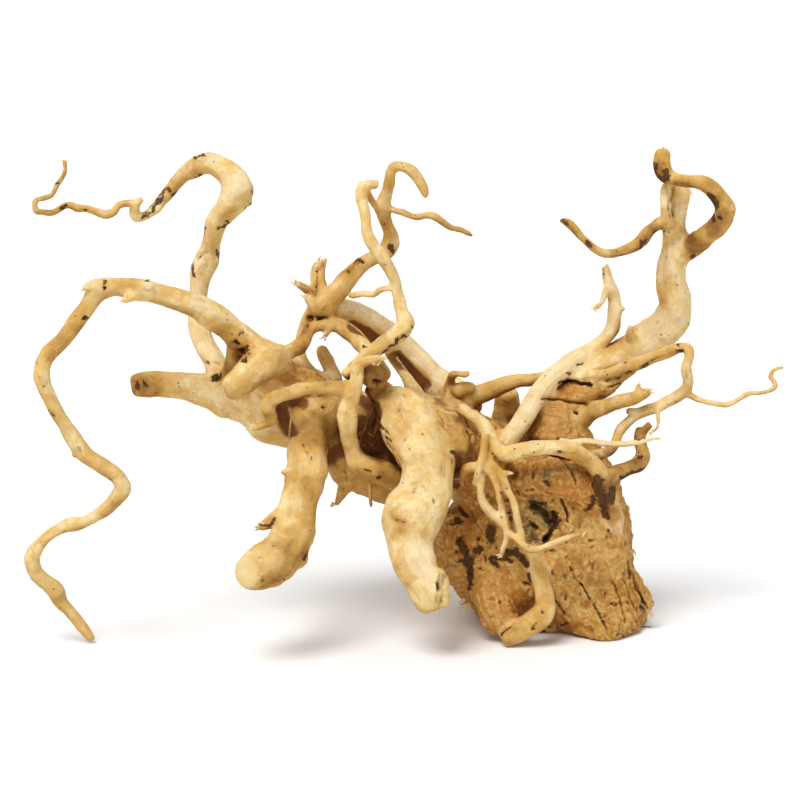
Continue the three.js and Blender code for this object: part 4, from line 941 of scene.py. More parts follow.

# Painted shade: brown put on the wood that lies deep between the front roots, behind the foremost: half
# width, strength, line
HOLLOW_SHADE_LINES = [
    (6, 1.0, [[238, 344], [244, 356]]), (7, 1.0, [[281, 404], [284, 418], [290, 430]]),
    (6, 0.8, [[290, 402], [304, 404]]), (8, 1.0, [[326, 458], [342, 450]]),
    (8, 0.9, [[362, 398], [374, 408], [378, 418]]), (9, 1.0, [[362, 424], [366, 446]]),
    (10, 1.0, [[376, 418], [382, 440], [376, 456]]), (8, 0.9, [[392, 448], [398, 460]]),
    (8, 1.0, [[396, 358], [404, 366], [414, 377], [422, 384]]),
    (6, 0.9, [[353, 326], [366, 332], [384, 345]]), (7, 0.9, [[457, 446], [455, 468], [452, 484]]),
    (5, 0.5, [[510, 468], [514, 474]]), (6, 0.6, [[511, 420], [516, 423]]),
    (5, 0.8, [[560, 383], [576, 383], [592, 385]]), (5, 0.7, [[612, 384], [626, 380]]),
    (6, 0.4, [[608, 452], [616, 452]]), (3, 0.9, [[310, 319], [322, 321]]),
    (6, 0.5, [[438, 402], [443, 406]]), (5, 0.4, [[298, 397], [303, 399]]),
]

# Brown shares of whole limbs; the others are pale
TINTS = {
    "bent": 0.75, "loop": 0.42, "right_tendril": 0.42, "right_thin": 0.4, "broken_root": 0.4,
    "crown": 0.4, "crooked": 0.38, "crooked_twig": 0.45, "arch_tendril": 0.2, "behind": 0.3, "web": 0.6,
    "recess": 0.8, "trunk_back": 0.35, "trunk": 0.14, "underside": 0.4, "front_left_leg": 0.34,
    "curly": 0.5, "tangle": 0.2, "tangle_cross": 0.3, "crook": 0.04, "crook_twig": 0.4, "neck": 0.34,
    "facing_knob": 0.45, "hump": 0.35, "broken_stub": 0.25, "low_cross": 0.36, "open_broken": 0.9,
    "trunk_front": 0.45, "upright": 0.16, "pale": 0.01, "foot": 0.2, "middle_leg": 0.12, "open_end": 0.9,
    "slim": 0.12, "far_twig": 0.3, "strip": 0.2, "cut_stub": 0.08, "crook_corner": 0.2, "hooked": 0.28,
    "knuckle": 0.08, "diagonal": 0.05, "right_branch": 0.04, "top_root": 0.12, "bent_root_foot": 0.6,
}

# Limbs whose flat ends show clean pale wood
CLEAN_ENDS = {"front_left_leg": 1.0, "crown_nub": 0.6}


def to_line(across, down, points):
    """Distance on the sheet from each place to a line through points."""
    spots = np.stack([across, down], axis=1)
    best = np.full(len(spots), np.inf)
    for start, stop in zip(np.array(points, float), np.array(points[1:], float)):
        span = stop - start
        t = np.clip((spots - start) @ span / (span @ span), 0, 1)
        best = np.minimum(best, np.linalg.norm(spots - start - t[:, None] * span, axis=1))
    return best


def front_mark(across, down, distance, allowed, points, width, core):
    """1 on a line drawn on the front, falling to 0 from its core to its width, on the foremost
    of the allowed wood."""
    mark = np.zeros(len(across))
    low, high = np.min(points, axis=0) - width, np.max(points, axis=0) + width
    beside = (across > low[0]) & (across < high[0])
    level = (down > low[1]) & (down < high[1])
    near = np.flatnonzero(allowed & beside & level)
    gap = to_line(across[near], down[near], points)
    near, gap = near[gap < width], gap[gap < width]
    if len(near):
        front = distance[near] < np.percentile(distance[near], 3) + FRONT_LAYER
        mark[near[front]] = 1 - window(gap[front], core * width, width)
    return mark


def by_limb(shares, owner, on_lumps):
    """Each point's value from a table of words that limb names hold, and one for the lumps."""
    values = [max([v for word, v in shares.items() if word in name], default=0.0) for name in ROUTES]
    return np.array(values + [on_lumps])[owner]


def sheltered(mesh, points, normals, edges):
    """How much wood closes in on each point, from 0 in the open to 1 in a deep hollow."""
    holder = add_object("holder", mesh)
    tree = BVHTree.FromObject(holder, bpy.context.evaluated_depsgraph_get())
    bpy.data.objects.remove(holder)
    draws = np.random.default_rng(5)
    chosen = draws.permutation(len(points))[:len(points) // SHELTER_SHARE]
    rays = draws.normal(size=(len(chosen), SHELTER_RAYS, 3))
    rays /= np.linalg.norm(rays, axis=2)[:, :, None]
    rays += RAY_LEAN * normals[chosen][:, None]
    rays /= np.linalg.norm(rays, axis=2)[:, :, None]
    starts = points[chosen] + RAY_START * normals[chosen]
    closed = np.zeros(len(points))
    known = np.zeros(len(points))
    for index, start, fan in zip(chosen.tolist(), starts.tolist(), rays.tolist()):
        total = 0
        for ray in fan:
            gap = tree.ray_cast(start, ray, SHELTER_REACH)[3]
            if gap is not None:
                total += 1 - FAR_LOSS * gap / SHELTER_REACH
        closed[index] = total / SHELTER_RAYS
        known[index] = 1
    both = smoothed(np.stack([closed, known], axis=1), edges, 10)
    return both[:, 0] / np.maximum(both[:, 1], 1e-6)


def clean_ends(end, radius, normals, owner, paths):
    """1 on the flat faces at the ends of the limbs that end in clean wood."""
    along = np.zeros(len(owner))
    for i, path in enumerate(paths):
        mine = owner == i
        if mine.any():
            ends = frames_along(path)[0][[0, -1]]
            along[mine] = np.abs(normals[mine] @ ends.T).max(axis=1)
    flat = window(along, 0.55, 0.85) * window(-end, -0.25 * radius, 0.02 * radius)
    return flat * by_limb(CLEAN_ENDS, owner, 0.0)


def seams(owner, edges):
    """1 along the borders between the limbs' own grains, falling to 0 beside them."""
    crossing = edges[owner[edges[:, 0]] != owner[edges[:, 1]]]
    border = np.zeros(len(owner))
    border[crossing.ravel()] = 1
    return np.clip(5 * smoothed(border, edges, 24), 0, 1)


def tones(owner, paths):
    """How brown each limb is: its share in TINTS, or else a chance shade if it is long."""
    lengths = [len(path) * STEP_RADII * path[:, 3].mean() for path in paths]
    long_limb = np.array([length > LEAST_TONED_LENGTH for length in lengths] + [False])
    chance = CHANCE_SHADE * (np.modf(GOLDEN * (owner + 2))[0] - 0.2)
    given = by_limb(TINTS, owner, 0.01)
    return np.where(given > 0, given, chance * long_limb[owner])


def drawn(tables, sheet, strayed, reach, core=0.0):
    """Each row's second number with its mark, for tables of (width, number, line) and the wood
    that they may lie on; a line strays to the right and down by what its width gives."""
    across, down, distance = sheet
    for rows, allowed in tables:
        for width, number, line in rows:
            right, lower = strayed(width)
            yield number, front_mark(
                across + right, down + lower, distance, allowed, line, reach * width, core)


def paint_hollow_shade(sheet, facing, wander):
    """1 where painted shade darkens the wood that lies well behind the foremost along the given lines."""
    across, down, distance = sheet
    painted_hollow_shade = np.zeros(len(distance))
    for width, strength, line in HOLLOW_SHADE_LINES:
        gap = to_line(across + 1.5 * wander, down + 1.5 * wander, line)
        inside = facing & (gap < 1.4 * width)
        if inside.any():
            foremost = np.percentile(distance[inside], 2)
            deep = window(distance, foremost + 9 * MM, foremost + 20 * MM)
            faded = 1 - window(gap, 0.4 * width, 1.4 * width)
            painted_hollow_shade = np.maximum(painted_hollow_shade, strength * facing * deep * faded)
    return painted_hollow_shade


def front_marks(points, facing, rough):
    """The depth of the cuts, the clefts, bark, moss, the washes of tone, painted shade and painted
    highlight, and the painted shade of the hollows, drawn on the front.
    """
    sheet = on_sheet(points)
    wander = layered(points / (4 * MM), 71)
    wave = noise(points / (6 * MM), 73)
    patchy = np.clip(1 + 0.45 * layered(points / (4.5 * MM), 83), 0.4, 1.5)
    stump = facing & (rough > 0.45)
    cuts, clefts, bark, moss, darker, paler = np.zeros((6, len(points)))

    def crooked(width):
        shift = min(1.4, 0.35 * width) * wander + 1.1 * wave
        return shift, -shift

    def frayed(width):
        shift = min(2.0, 0.6 * width) * wander
        return shift, shift

    def loose(_):
        return 2 * wander, -2 * wander

    tables = ((CARVINGS, facing), (STUMP_CARVINGS, stump))
    for depth, mark in drawn(tables, sheet, crooked, 1, 0.25):
        cuts += depth * MM * mark
        # Each carving also gets painted shade in its cleft, more the deeper it is
        clefts = np.maximum(clefts, mark * min(1, 0.12 + 0.22 * depth))
    for strength, mark in drawn(((STAINS, facing), (STUMP_STAINS, stump)), sheet, frayed, 2):
        bark = np.maximum(bark, strength * mark * patchy)
    for strength, mark in drawn(((MOSS, facing), (STUMP_MOSS, stump)), sheet, frayed, 2):
        moss = np.maximum(moss, strength * mark * patchy)
    for share, mark in drawn(((TONES_AND_PAINTED_LIGHT, facing), (STUMP_WASHES, stump)), sheet, loose, 1.7):
        darker = np.maximum(darker, share * mark)
        paler = np.minimum(paler, share * mark)
    return cuts, clefts, bark, moss, darker + paler, paint_hollow_shade(sheet, facing, wander)


def chance_marks(points, grain, rough, unseen):
    """Clefts, bark and shades that fall by chance where the front marks don't reach."""
    lines = np.abs(noise(grain * np.array([1, 1, 0.22]) / (12 * MM), 103))
    some = window(noise(points / (24 * MM), 105), 0.05, 0.35)
    cleft = unseen * rough * some * (1 - window(lines, 0.02, 0.08))
    long_spots = noise(grain * np.array([1, 1, 0.4]) / (13 * MM), 101)
    long_spots += 0.4 * noise(points / (4 * MM), 102)
    patch = unseen * (0.35 + 0.65 * rough) * window(long_spots, 0.6, 0.95)
    shade = 0.55 * unseen * (0.4 + 0.6 * rough) * layered(points / (32 * MM), 107, 2)
    return cleft, patch, shade


def limb_relief(start, points, grain, radius, rough, seam, fibres):
    """The start with the flutes, swells, knots and dents that run with each limb."""
    slim = np.minimum(radius, MOST_FLUTED_RADIUS)
    turned = np.stack([grain[:, 0] / slim, grain[:, 1] / slim, grain[:, 2] / (26 * MM)], axis=1)
    flutes = layered(0.9 * turned, 11, 2) * (1 - seam)
    swells = layered(points / (15 * MM), 23, 2) + 0.7 * noise(points / (34 * MM), 29)
    burls = window(noise(points / (13 * MM), 37), 0.35, 0.85)
    knuckles = noise(points / (8 * MM), 43) * window(-radius, -7 * MM, -3.5 * MM)
    dents = window(noise(points / (7 * MM), 47), 0.4, 0.9) * window(radius, 4 * MM, 9 * MM)
    shaped = FLUTES * flutes + SWELLS * swells + BURLS * burls + KNUCKLES * knuckles
    smooth = LIMB_GRIT * layered(points / (5 * MM), 49) - LIMB_DENTS * dents
    return start + (1 - 0.4 * rough) * slim * shaped + LIMB_FIBRE * fibres + (1 - rough) * smooth


def stump_relief(start, points, grain, rough, fibres):
    """The start with the stump's old fibres, knots, nodules, bulges and pits."""
    bent = grain + 3.0 * MM * np.stack([noise(points / (9 * MM), k) for k in (3, 4, 5)], axis=1)
    ridges = 1 - 2.2 * np.abs(layered(bent * np.array([1, 1, 0.38]) / (4.2 * MM), 41))
    knots = layered(points / (4.6 * MM), 53)
    nodules = np.abs(noise(bent * np.array([1, 1, 0.75]) / (5.4 * MM), 59)) ** 0.7
    nodules += 0.35 * np.abs(noise(bent / (2.9 * MM), 60)) ** 0.7 - 0.4
    knotty = 0.55 + 0.65 * window(noise(points / (24 * MM), 63), -0.4, 0.4)
    bulges = layered(points / (16 * MM), 61, 2)
    pits = window(-layered(points / (4.4 * MM), 67, 2), 0.55, 0.95)
    raised = STUMP_RIDGES * ridges + STUMP_KNOTS * knots + STUMP_NODULES * knotty * nodules
    raised += STUMP_BULGES * bulges + STUMP_FIBRE * fibres - STUMP_PITS * pits
    return start + rough * raised


def add_values(mesh, values, grain):
    """Keeps the values that the finish follows: from 0 to 1, and the tint from -1 to 1."""
    for name, value in values.items():
        layer = mesh.attributes.new(name, "FLOAT", "POINT")
        lowest = -1 if name == "tint" else 0
        layer.data.foreach_set("value", np.clip(value, lowest, 1).astype(np.float32))
    layer = mesh.attributes.new("grain", "FLOAT_VECTOR", "POINT")
    layer.data.foreach_set("vector", grain.astype(np.float32).ravel())


def skin():
    """The fused skin with its relief and values, and its points that bear a mark."""
    limbs, tree, owners, paths = loose_limbs()
    mesh = fused(limbs)
    points = coordinates(mesh)
    edges = edges_of(mesh)
    owner = np.array([owners[tree.find_nearest(p)[2]] for p in points.tolist()])
    grain, radius, end = straightened(points, owner, paths)
    seam = seams(owner, edges)
    # The trunk turns rough where it runs into the stump
    trunk = by_limb({"trunk": 1.0}, owner, 0.0) * window(on_sheet(points)[0], *TRUNK_TURNS_ROUGH)
    stumpy = np.maximum(by_limb(STUMPY, owner, 1.0), trunk)
    rough, tint = smoothed(np.stack([stumpy, tones(owner, paths)], axis=1), edges, 60).T

    # Forks are filleted, more where the wood is thick, and the wood that this takes is given back
    soft = 0.5 * np.clip((radius - 2.5 * MM) / (9 * MM), 0.03, 1)
    clean = by_limb(CLEAN_ENDS, owner, 0.0)
    soft *= 1 - 0.9 * window(-end, -2.5 * MM, 0.5 * MM) * clean
    points = smoothed(points, edges, FILLET_ROUNDS, soft)
    put_coordinates(mesh, points)
    normals = normals_of(mesh)
    radius = smoothed(radius, edges, 14)
    taken = FILLET_ROUNDS * soft * VOXEL**2 / (4.5 * np.maximum(radius, 2 * MM))
    relief = smoothed(taken, edges, 14)

    fibres = layered(grain * np.array([1, 1, 0.1]) / (2.6 * MM), 31, 2) * (1 - seam)
    relief = limb_relief(relief, points, grain, radius, rough, seam, fibres)
    relief = stump_relief(relief, points, grain, rough, fibres)

    # The marks of the front, and marks by chance on the wood that faces away from the eye
    toward = np.array(EYE) - points
    toward /= np.linalg.norm(toward, axis=1)[:, None]
    turned_to = (normals * toward).sum(axis=1)
    cuts, clefts, bark, moss, tone_and_painted_light, painted_hollow_shade = front_marks(points, turned_to > 0.1, rough)
    cleft, patch, shade = chance_marks(points, grain, rough, window(-turned_to, -0.1, 0.15))
    clefts = np.maximum(clefts, 0.7 * cleft)
    bark = np.maximum(bark, patch)
    relief -= cuts + CHANCE_CLEFTS * cleft + SUNK_HOLLOWS * painted_hollow_shade
    relief += moss * MOSS_BLISTERS * layered(points / (3 * MM), 97, 2)
    points = inside_box(points + normals * relief[:, None])
    put_coordinates(mesh, points)
    normals = normals_of(mesh)

    # Creases: how far the skin lies inside its own smoothed self; the finish paints shade into them
    fine = ((smoothed(points, edges, 4) - points) * normals).sum(axis=1)
    wide = ((smoothed(points, edges, 50) - points) * normals).sum(axis=1)
    crease_shade = window(fine, 0.06 * MM, 0.36 * MM) * 0.5 + window(wide, 0.5 * MM, 2.6 * MM) * 0.8
    crease_shade = smoothed(np.clip(crease_shade, 0, 1), edges, 1)
    closed = sheltered(mesh, points, normals, edges)
    # Painted shade: the undersides and the spots where the wood closes in turn browner; the washes bring
    # their painted shade and highlight along with the wood's own tone
    painted_under_shade = window(-normals[:, 2], -0.1, 0.9)
    browner_and_painted_shade = smoothed(tone_and_painted_light + shade, edges, 8) + 0.35 * painted_under_shade + 0.5 * window(closed, 0.15, 0.65)
    add_values(mesh, {
        "age": rough,
        # The tint: the wood's own tone, with painted shade and painted highlight
        "tint": tint + browner_and_painted_shade,
        # Painted shade in the creases, the cracks and the clefts
        "crease_shade": np.maximum(crease_shade, clefts),
        # Painted highlight on the crests
        "crest_highlight": window(-fine, 0.02 * MM, 0.2 * MM),
        "moss": smoothed(moss, edges, 2),
        "bark": smoothed(bark, edges, 1),
        # Painted shade in the hollows and where the wood closes in deeply
        "painted_hollow_shade": np.maximum(painted_hollow_shade, 0.8 * window(closed, 0.55, 0.9)),
        "cut": clean_ends(end, radius, normals, owner, paths),
        "seam": seam,
    }, grain)
    marks = np.maximum.reduce([smoothed(clefts, edges, 2), bark, painted_hollow_shade])
    return mesh, np.flatnonzero(marks > 0.15)


# Torn ends: [across, down, depth], which way they point on the sheet, how long, how wide and how many
TORN_ENDS = [
    ([319, 263, 10], -60, 7, 5, 12), ([297, 284, -5], -165, 6, 2.5, 6), ([306, 296, -4], -170, 6, 3, 6),
    ([325, 335, -12], 110, 6, 2.5, 7), ([252, 428, -52], 150, 7, 3, 8),
    ([380, 359, -49], -10, 8, 3.5, 10), ([372, 361, -50], 20, 7, 3, 6), ([247, 586, -104], 70, 5, 5, 6),
    ([437, 606, -88], 110, 7, 7, 14), ([443, 600, -90], 80, 6, 4, 8), ([85, 289, -68], 170, 5, 3, 7),
    ([126, 300, -66], 140, 6, 4, 8), ([260, 527, -81], 150, 6, 4, 10), ([686, 192, 8], -30, 7, 6, 12),
    ([663, 152, 2], -90, 4, 6, 8), ([648, 391, -20], -15, 6, 3, 8), ([638, 386, -16], -90, 5, 2.5, 5),
    ([597, 307, 10], 120, 6, 3, 9), ([606, 268, 16], -90, 5, 3, 6), ([466, 374, -5], -20, 6, 2.5, 6),
    ([501, 555, -58], 110, 5, 2, 5), ([650, 612, -20], 70, 6, 5, 9), ([645, 631, -12], 30, 6, 7, 12),
    ([520, 640, -40], 150, 5, 8, 7), ([466, 604, -16], 140, 6, 8, 9), ([633, 552, -10], 20, 3, 5, 5),
    ([651, 433, -16], 160, 4, 1.5, 4), ([583, 534, -62], -10, 4, 1.5, 4),
    ([658, 438, -32], -5, 4, 1.2, 3), ([333, 505, -30], 120, 4, 2, 4),
]


def splinters():
    """Thin fibres that stand out of the torn ends."""
    draws = np.random.default_rng(12)
    whole = bmesh.new()
    for (across, down, depth), heading, length, wide, count in TORN_ENDS:
        for _ in range(count):
            turn = math.radians(heading + draws.normal(0, 22))
            reach = length * draws.uniform(0.5, 1.1)
            x = across + draws.uniform(-0.5, 0.5) * wide
            y = down + draws.uniform(-0.5, 0.5) * wide
            lean = draws.uniform(-2.5, 2.5)
            stations = []
            for t, radius in ((-0.7, 1.0), (0.2, 0.85), (0.6, 0.6), (1.0, 0.25)):
                curl = turn + draws.normal(0, 0.12) + 0.25 * t
                right, lower = t * reach * math.cos(curl), t * reach * math.sin(curl)
                spot, unit = place(x + right, y + lower, depth + lean * t)
                stations.append((*spot, radius * unit))
            path = bend(np.array(stations))
            join(whole, sweep(path, frames_along(path), SPLINTER_SIDES))
    for vertex in whole.verts:
        vertex.co = Vector(inside_box(vertex.co))
    return mesh_from(whole, "root_splinters")


# Finishes

def linear(red, green, blue):
    """A colour given as screen values from 0 to 255."""
    def channel(value):
        value /= 255
        return value / 12.92 if value <= 0.04045 else ((value + 0.055) / 1.055) ** 2.4
    return (channel(red), channel(green), channel(blue), 1)


class Shading:
    """Adds nodes to a tree and links them by socket."""

    def __init__(self, tree):
        self.tree = tree

    def put(self, socket, value):
        """Links a socket to another one, or gives it a plain value."""
        if isinstance(value, bpy.types.NodeSocket):
            self.tree.links.new(value, socket)
        else:
            socket.default_value = value

    def node(self, kind, settings=None, **inputs):
        """A node with its settings, and inputs by name or, as i0 and i1, by number."""
        made = self.tree.nodes.new(kind)
        for key, value in (settings or {}).items():
            setattr(made, key, value)
        for key, value in inputs.items():
            number = key[0] == "i" and key[1:].isdigit()
            self.put(made.inputs[int(key[1:]) if number else key.replace("_", " ")], value)
        return made

    def math(self, operation, a, b=0.0, clamp=False):
        settings = {"operation": operation, "use_clamp": clamp}
        return self.node("ShaderNodeMath", settings, i0=a, i1=b).outputs[0]

    def share(self, value, amount, clamp=False):
        return self.math("MULTIPLY", value, amount, clamp)

    def jitter(self, value, noise, amount):
        """The value, pushed up and down by a noise that lies around one half."""
        return self.math("ADD", value, self.share(self.math("SUBTRACT", noise, 0.5), amount))

    def mix(self, share, a, b):
        made = self.node("ShaderNodeMix", {"data_type": "RGBA"}, i0=share, i6=a, i7=b)
        return made.outputs[2]

    def scaled(self, vector, factors):
        settings = {"operation": "MULTIPLY"}
        return self.node("ShaderNodeVectorMath", settings, i0=vector, i1=factors).outputs[0]

    def noise(self, vector, scale, detail=3.0, roughness=0.5, distortion=0.0, output="Fac"):
        made = self.node("ShaderNodeTexNoise", None, Vector=vector, Scale=scale, Detail=detail,
                         Roughness=roughness, Distortion=distortion)
        return made.outputs[output]

    def cells(self, vector, scale, feature="F1", **inputs):
        """The distance to the nearest of many scattered points."""
        made = self.node("ShaderNodeTexVoronoi", {"feature": feature}, Vector=vector, Scale=scale, **inputs)
        return made.outputs["Distance"]

    def ramp(self, value, low, high):
        settings = {"interpolation_type": "SMOOTHSTEP"}
        made = self.node("ShaderNodeMapRange", settings, Value=value, From_Min=low, From_Max=high)
        return made.outputs[0]

    def fall(self, value, low, high):
        return self.math("SUBTRACT", 1.0, self.ramp(value, low, high))

    def value(self, name, output="Fac"):
        return self.node("ShaderNodeAttribute", {"attribute_name": name}).outputs[output]

    def layers(self, base, rows):
        """The base under layers of (mask value, where it starts and is full, strength, colour)."""
        for value, low, high, strength, colour in rows:
            base = self.mix(self.share(self.ramp(value, low, high), strength), base, colour)
        return base


def group(name, inputs, outputs):
    """An empty node group with named sockets; returns it with its shading and end nodes."""
    tree = bpy.data.node_groups.new(name, "ShaderNodeTree")
    for label, kind in inputs:
        tree.interface.new_socket(label, in_out="INPUT", socket_type=kind)
    for label, kind in outputs:
        tree.interface.new_socket(label, in_out="OUTPUT", socket_type=kind)
    start = tree.nodes.new("NodeGroupInput")
    stop = tree.nodes.new("NodeGroupOutput")
    return tree, Shading(tree), start, stop


VALUE, VECTOR = "NodeSocketFloat", "NodeSocketVector"


def fibre_group():
    """Fine and broad streaks along the grain, none on a seam between two grains, and their height."""
    tree, s, start, stop = group("fibre", [("Grain", VECTOR), ("Fineness", VALUE), ("Seam", VALUE)],
                                 [("Fine", VALUE), ("Broad", VALUE), ("Height", VALUE)])
    grain = start.outputs["Grain"]
    kept = s.math("SUBTRACT", 1.0, start.outputs["Seam"])
    thin = s.noise(s.scaled(grain, (1, 1, 0.045)), start.outputs["Fineness"], 4, 0.6)
    thick = s.noise(s.scaled(grain, (1, 1, 0.2)), 150, 3, 0.55, 0.8)
    fine, broad = s.jitter(0.5, thin, kept), s.jitter(0.5, thick, kept)
    height = s.math("ADD", s.share(fine, 0.6), s.share(broad, 0.5))
    for name, value in (("Fine", fine), ("Broad", broad), ("Height", height)):
        tree.links.new(value, stop.inputs[name])
    return tree


def specks_group():
    """Pinholes, short scars along the grain, and soft blotches."""
    tree, s, start, stop = group("specks", [("Place", VECTOR), ("Grain", VECTOR)],
                                 [("Dots", VALUE), ("Scars", VALUE), ("Blotches", VALUE)])
    spot = start.outputs["Place"]
    dots = s.fall(s.cells(spot, 240), 0.08, 0.2)
    rare = s.ramp(s.noise(spot, 90, 2), 0.52, 0.66)
    scars = s.fall(s.cells(s.scaled(start.outputs["Grain"], (1, 1, 0.4)), 120), 0.1, 0.26)
    torn = s.ramp(s.noise(spot, 700, 3), 0.35, 0.6)
    seldom = s.ramp(s.noise(spot, 55, 2), 0.52, 0.62)
    tree.links.new(s.share(dots, rare), stop.inputs["Dots"])
    tree.links.new(s.share(s.share(scars, torn), seldom), stop.inputs["Scars"])
    tree.links.new(s.noise(spot, 42, 4, 0.6), stop.inputs["Blotches"])
    return tree


def wood_material(name, fibre, specks, palette):
    """Sand-washed root wood, pale on the limbs and orange brown and rough on the stump."""
    material = bpy.data.materials.new(name)
    material.use_nodes = True
    tree = material.node_tree
    s = Shading(tree)
    shader = tree.nodes["Principled BSDF"]
    spot = s.node("ShaderNodeTexCoord").outputs["Object"]

    # What the skin's points tell
    grain, seam = s.value("grain", "Vector"), s.value("seam")
    age, tint, cut = s.value("age"), s.value("tint"), s.value("cut")
    crease_shade, crest_highlight = s.value("crease_shade"), s.value("crest_highlight")
    bark, moss, painted_hollow_shade = s.value("bark"), s.value("moss"), s.value("painted_hollow_shade")

    # Patterns, from broad to fine
    streaks = s.node("ShaderNodeGroup", {"node_tree": fibre}, Grain=grain, Fineness=900.0, Seam=seam)
    marks = s.node("ShaderNodeGroup", {"node_tree": specks}, Place=spot, Grain=grain)
    broad = streaks.outputs["Broad"]
    slow = s.noise(spot, 26, 3, 0.5)
    cloudy = s.noise(spot, 60, 5, 0.6, 0.6)
    mottle = s.noise(spot, 110, 5, 0.65, 0.4)
    shift = s.scaled(s.noise(spot, 170, 3, output="Color"), (0.005, 0.005, 0.007))
    shifted = s.node("ShaderNodeVectorMath", {"operation": "ADD"}, i0=spot, i1=shift).outputs[0]
    # The gaps between the stump's nodules: they sink in the bump and get painted shade
    gaps = s.ramp(s.cells(shifted, 235, "SMOOTH_F1", Smoothness=0.35), 0.3, 0.72)
    knots = s.noise(s.scaled(spot, (0.75, 1, 0.75)), 330, 6, 0.72, 0.8)
    frayed = s.noise(spot, 380, 6, 0.75)
    flecks = s.noise(spot, 520, 5, 0.7)
    grit = s.noise(spot, 1100, 3, 0.7)

    # Pale limbs, browner where the tint says so; the tint holds painted shade and painted highlight as well
    # as the wood's own tone
    pale = s.mix(s.ramp(mottle, 0.38, 0.6), palette["limb_dark"], palette["limb_light"])
    pale = s.layers(pale, (
        (broad, 0.5, 0.66, 0.4, palette["ochre"]),
        (marks.outputs["Blotches"], 0.5, 0.62, 0.6, palette["ochre"]),
        (slow, 0.55, 0.68, 0.3, palette["grey"]),
    ))
    # Cream on the palest wood: its own pale tone, and painted highlight where the washes go below zero
    pale = s.mix(s.share(s.fall(tint, 0.0, 0.14), 0.4), pale, palette["cream"])
    uneven = s.jitter(s.jitter(tint, cloudy, 1.3), mottle, 1.0)
    pale = s.layers(pale, (
        (uneven, 0.1, 0.68, 0.82, palette["golden"]),
        (uneven, 0.5, 1.25, 0.85, palette["brown"]),
    ))

    # The rough stump, golden where the tint is below zero
    browner_and_painted_shade = s.jitter(tint, mottle, 0.9)
    negative_tint = s.jitter(s.share(tint, -1.0), mottle, 0.5)
    worn = s.mix(s.ramp(mottle, 0.4, 0.6), palette["stump_dark"], palette["stump_light"])
    worn = s.layers(worn, (
        (s.jitter(cloudy, mottle, 0.5), 0.5, 0.66, 0.4, palette["rust"]),
        (browner_and_painted_shade, 0.0, 0.5, 0.8, palette["orange"]),
        (browner_and_painted_shade, 0.45, 1.2, 0.7, palette["rust"]),
        (broad, 0.5, 0.64, 0.4, palette["rust"]),
        # Painted highlight: the crests turn gold. Painted shade: the creases and the gaps between the
        # nodules turn rust.
        (s.jitter(crest_highlight, mottle, 1.1), 0.1, 0.95, 0.6, palette["gold"]),
        (s.jitter(crease_shade, frayed, 0.9), 0.05, 0.5, 0.5, palette["rust"]),
        (gaps, 0.5, 1.0, 0.2, palette["rust"]),
        (knots, 0.57, 0.67, 0.5, palette["fibre_dark"]),
        (negative_tint, 0.08, 0.5, 0.4, palette["gold"]),
    ))
    colour = s.mix(s.ramp(s.jitter(age, mottle, 0.5), 0.2, 0.9), pale, worn)

    # Flecks, fine lines, scars, pinholes and clean cut ends
    dusted = s.share(s.ramp(flecks, 0.6, 0.7), s.jitter(0.18, cloudy, 0.8), True)
    lined = s.share(s.fall(streaks.outputs["Fine"], 0.34, 0.5), s.jitter(0.09, mottle, 0.45), True)
    for mask, strength, tone in (
            (dusted, 1.0, "fibre_dark"),
            (lined, 1.0, "fibre_dark"),
            (s.ramp(grit, 0.55, 0.75), 0.24, "fibre_dark"),
            (marks.outputs["Scars"], 0.7, "fibre_dark"),
            (marks.outputs["Dots"], 0.8, "speck"),
            (cut, 0.7, "cut")):
        colour = s.mix(s.share(mask, strength), colour, palette[tone])

    # Rot and bark, with painted shade: the crevice colour in the creases, and brown and darker brown in the
    # hollows
    rotten = s.mix(s.ramp(knots, 0.44, 0.54), palette["moss"], palette["moss_dark"])
    barky = s.mix(s.ramp(knots, 0.42, 0.6), palette["bark"], palette["bark_light"])
    ragged = s.jitter(s.jitter(bark, frayed, 2.2), mottle, 1.2)
    ragged = s.share(ragged, s.ramp(bark, 0.02, 0.2))
    colour = s.layers(colour, (
        (s.jitter(moss, frayed, 0.9), 0.25, 0.75, 0.9, rotten),
        (s.jitter(crease_shade, frayed, 0.8), 0.22, 0.85, 0.85, palette["crevice_shade"]),
        (s.jitter(s.jitter(painted_hollow_shade, mottle, 0.6), knots, 0.6), 0.05, 0.6, 0.8, palette["brown"]),
        (s.jitter(s.jitter(painted_hollow_shade, mottle, 0.5), knots, 0.7), 0.4, 0.95, 0.9, palette["painted_hollow_shade"]),
        (ragged, 0.2, 0.6, 0.55, palette["brown"]),
        (ragged, 0.46, 0.66, 0.88, barky),
    ))
    s.put(shader.inputs["Base Color"], colour)
    s.put(shader.inputs["Roughness"], s.math("SUBTRACT", 0.9, s.share(broad, 0.22)))
    s.put(shader.inputs["Specular IOR Level"], 0.14)

    # Fine relief, stronger on the stump
    coarse = s.math("ADD", s.share(knots, 0.8), s.noise(spot, 900, 4, 0.6))
    coarse = s.math("ADD", coarse, s.share(gaps, -0.6))
    height = s.math("ADD", streaks.outputs["Height"], s.share(coarse, s.share(age, 2.0)))
    edge = s.ramp(ragged, 0.46, 0.66)
    for part, amount in ((mottle, 0.35), (marks.outputs["Dots"], -0.6), (edge, -0.3)):
        height = s.math("ADD", height, s.share(part, amount))
    bump = s.node("ShaderNodeBump", None, Strength=0.9, Distance=0.0014, Height=height)
    s.put(shader.inputs["Normal"], bump.outputs[0])
    return material


def plain_material(name, colour, roughness):
    material = bpy.data.materials.new(name)
    material.use_nodes = True
    shader = material.node_tree.nodes["Principled BSDF"]
    shader.inputs["Base Color"].default_value = colour
    shader.inputs["Roughness"].default_value = roughness
    return material


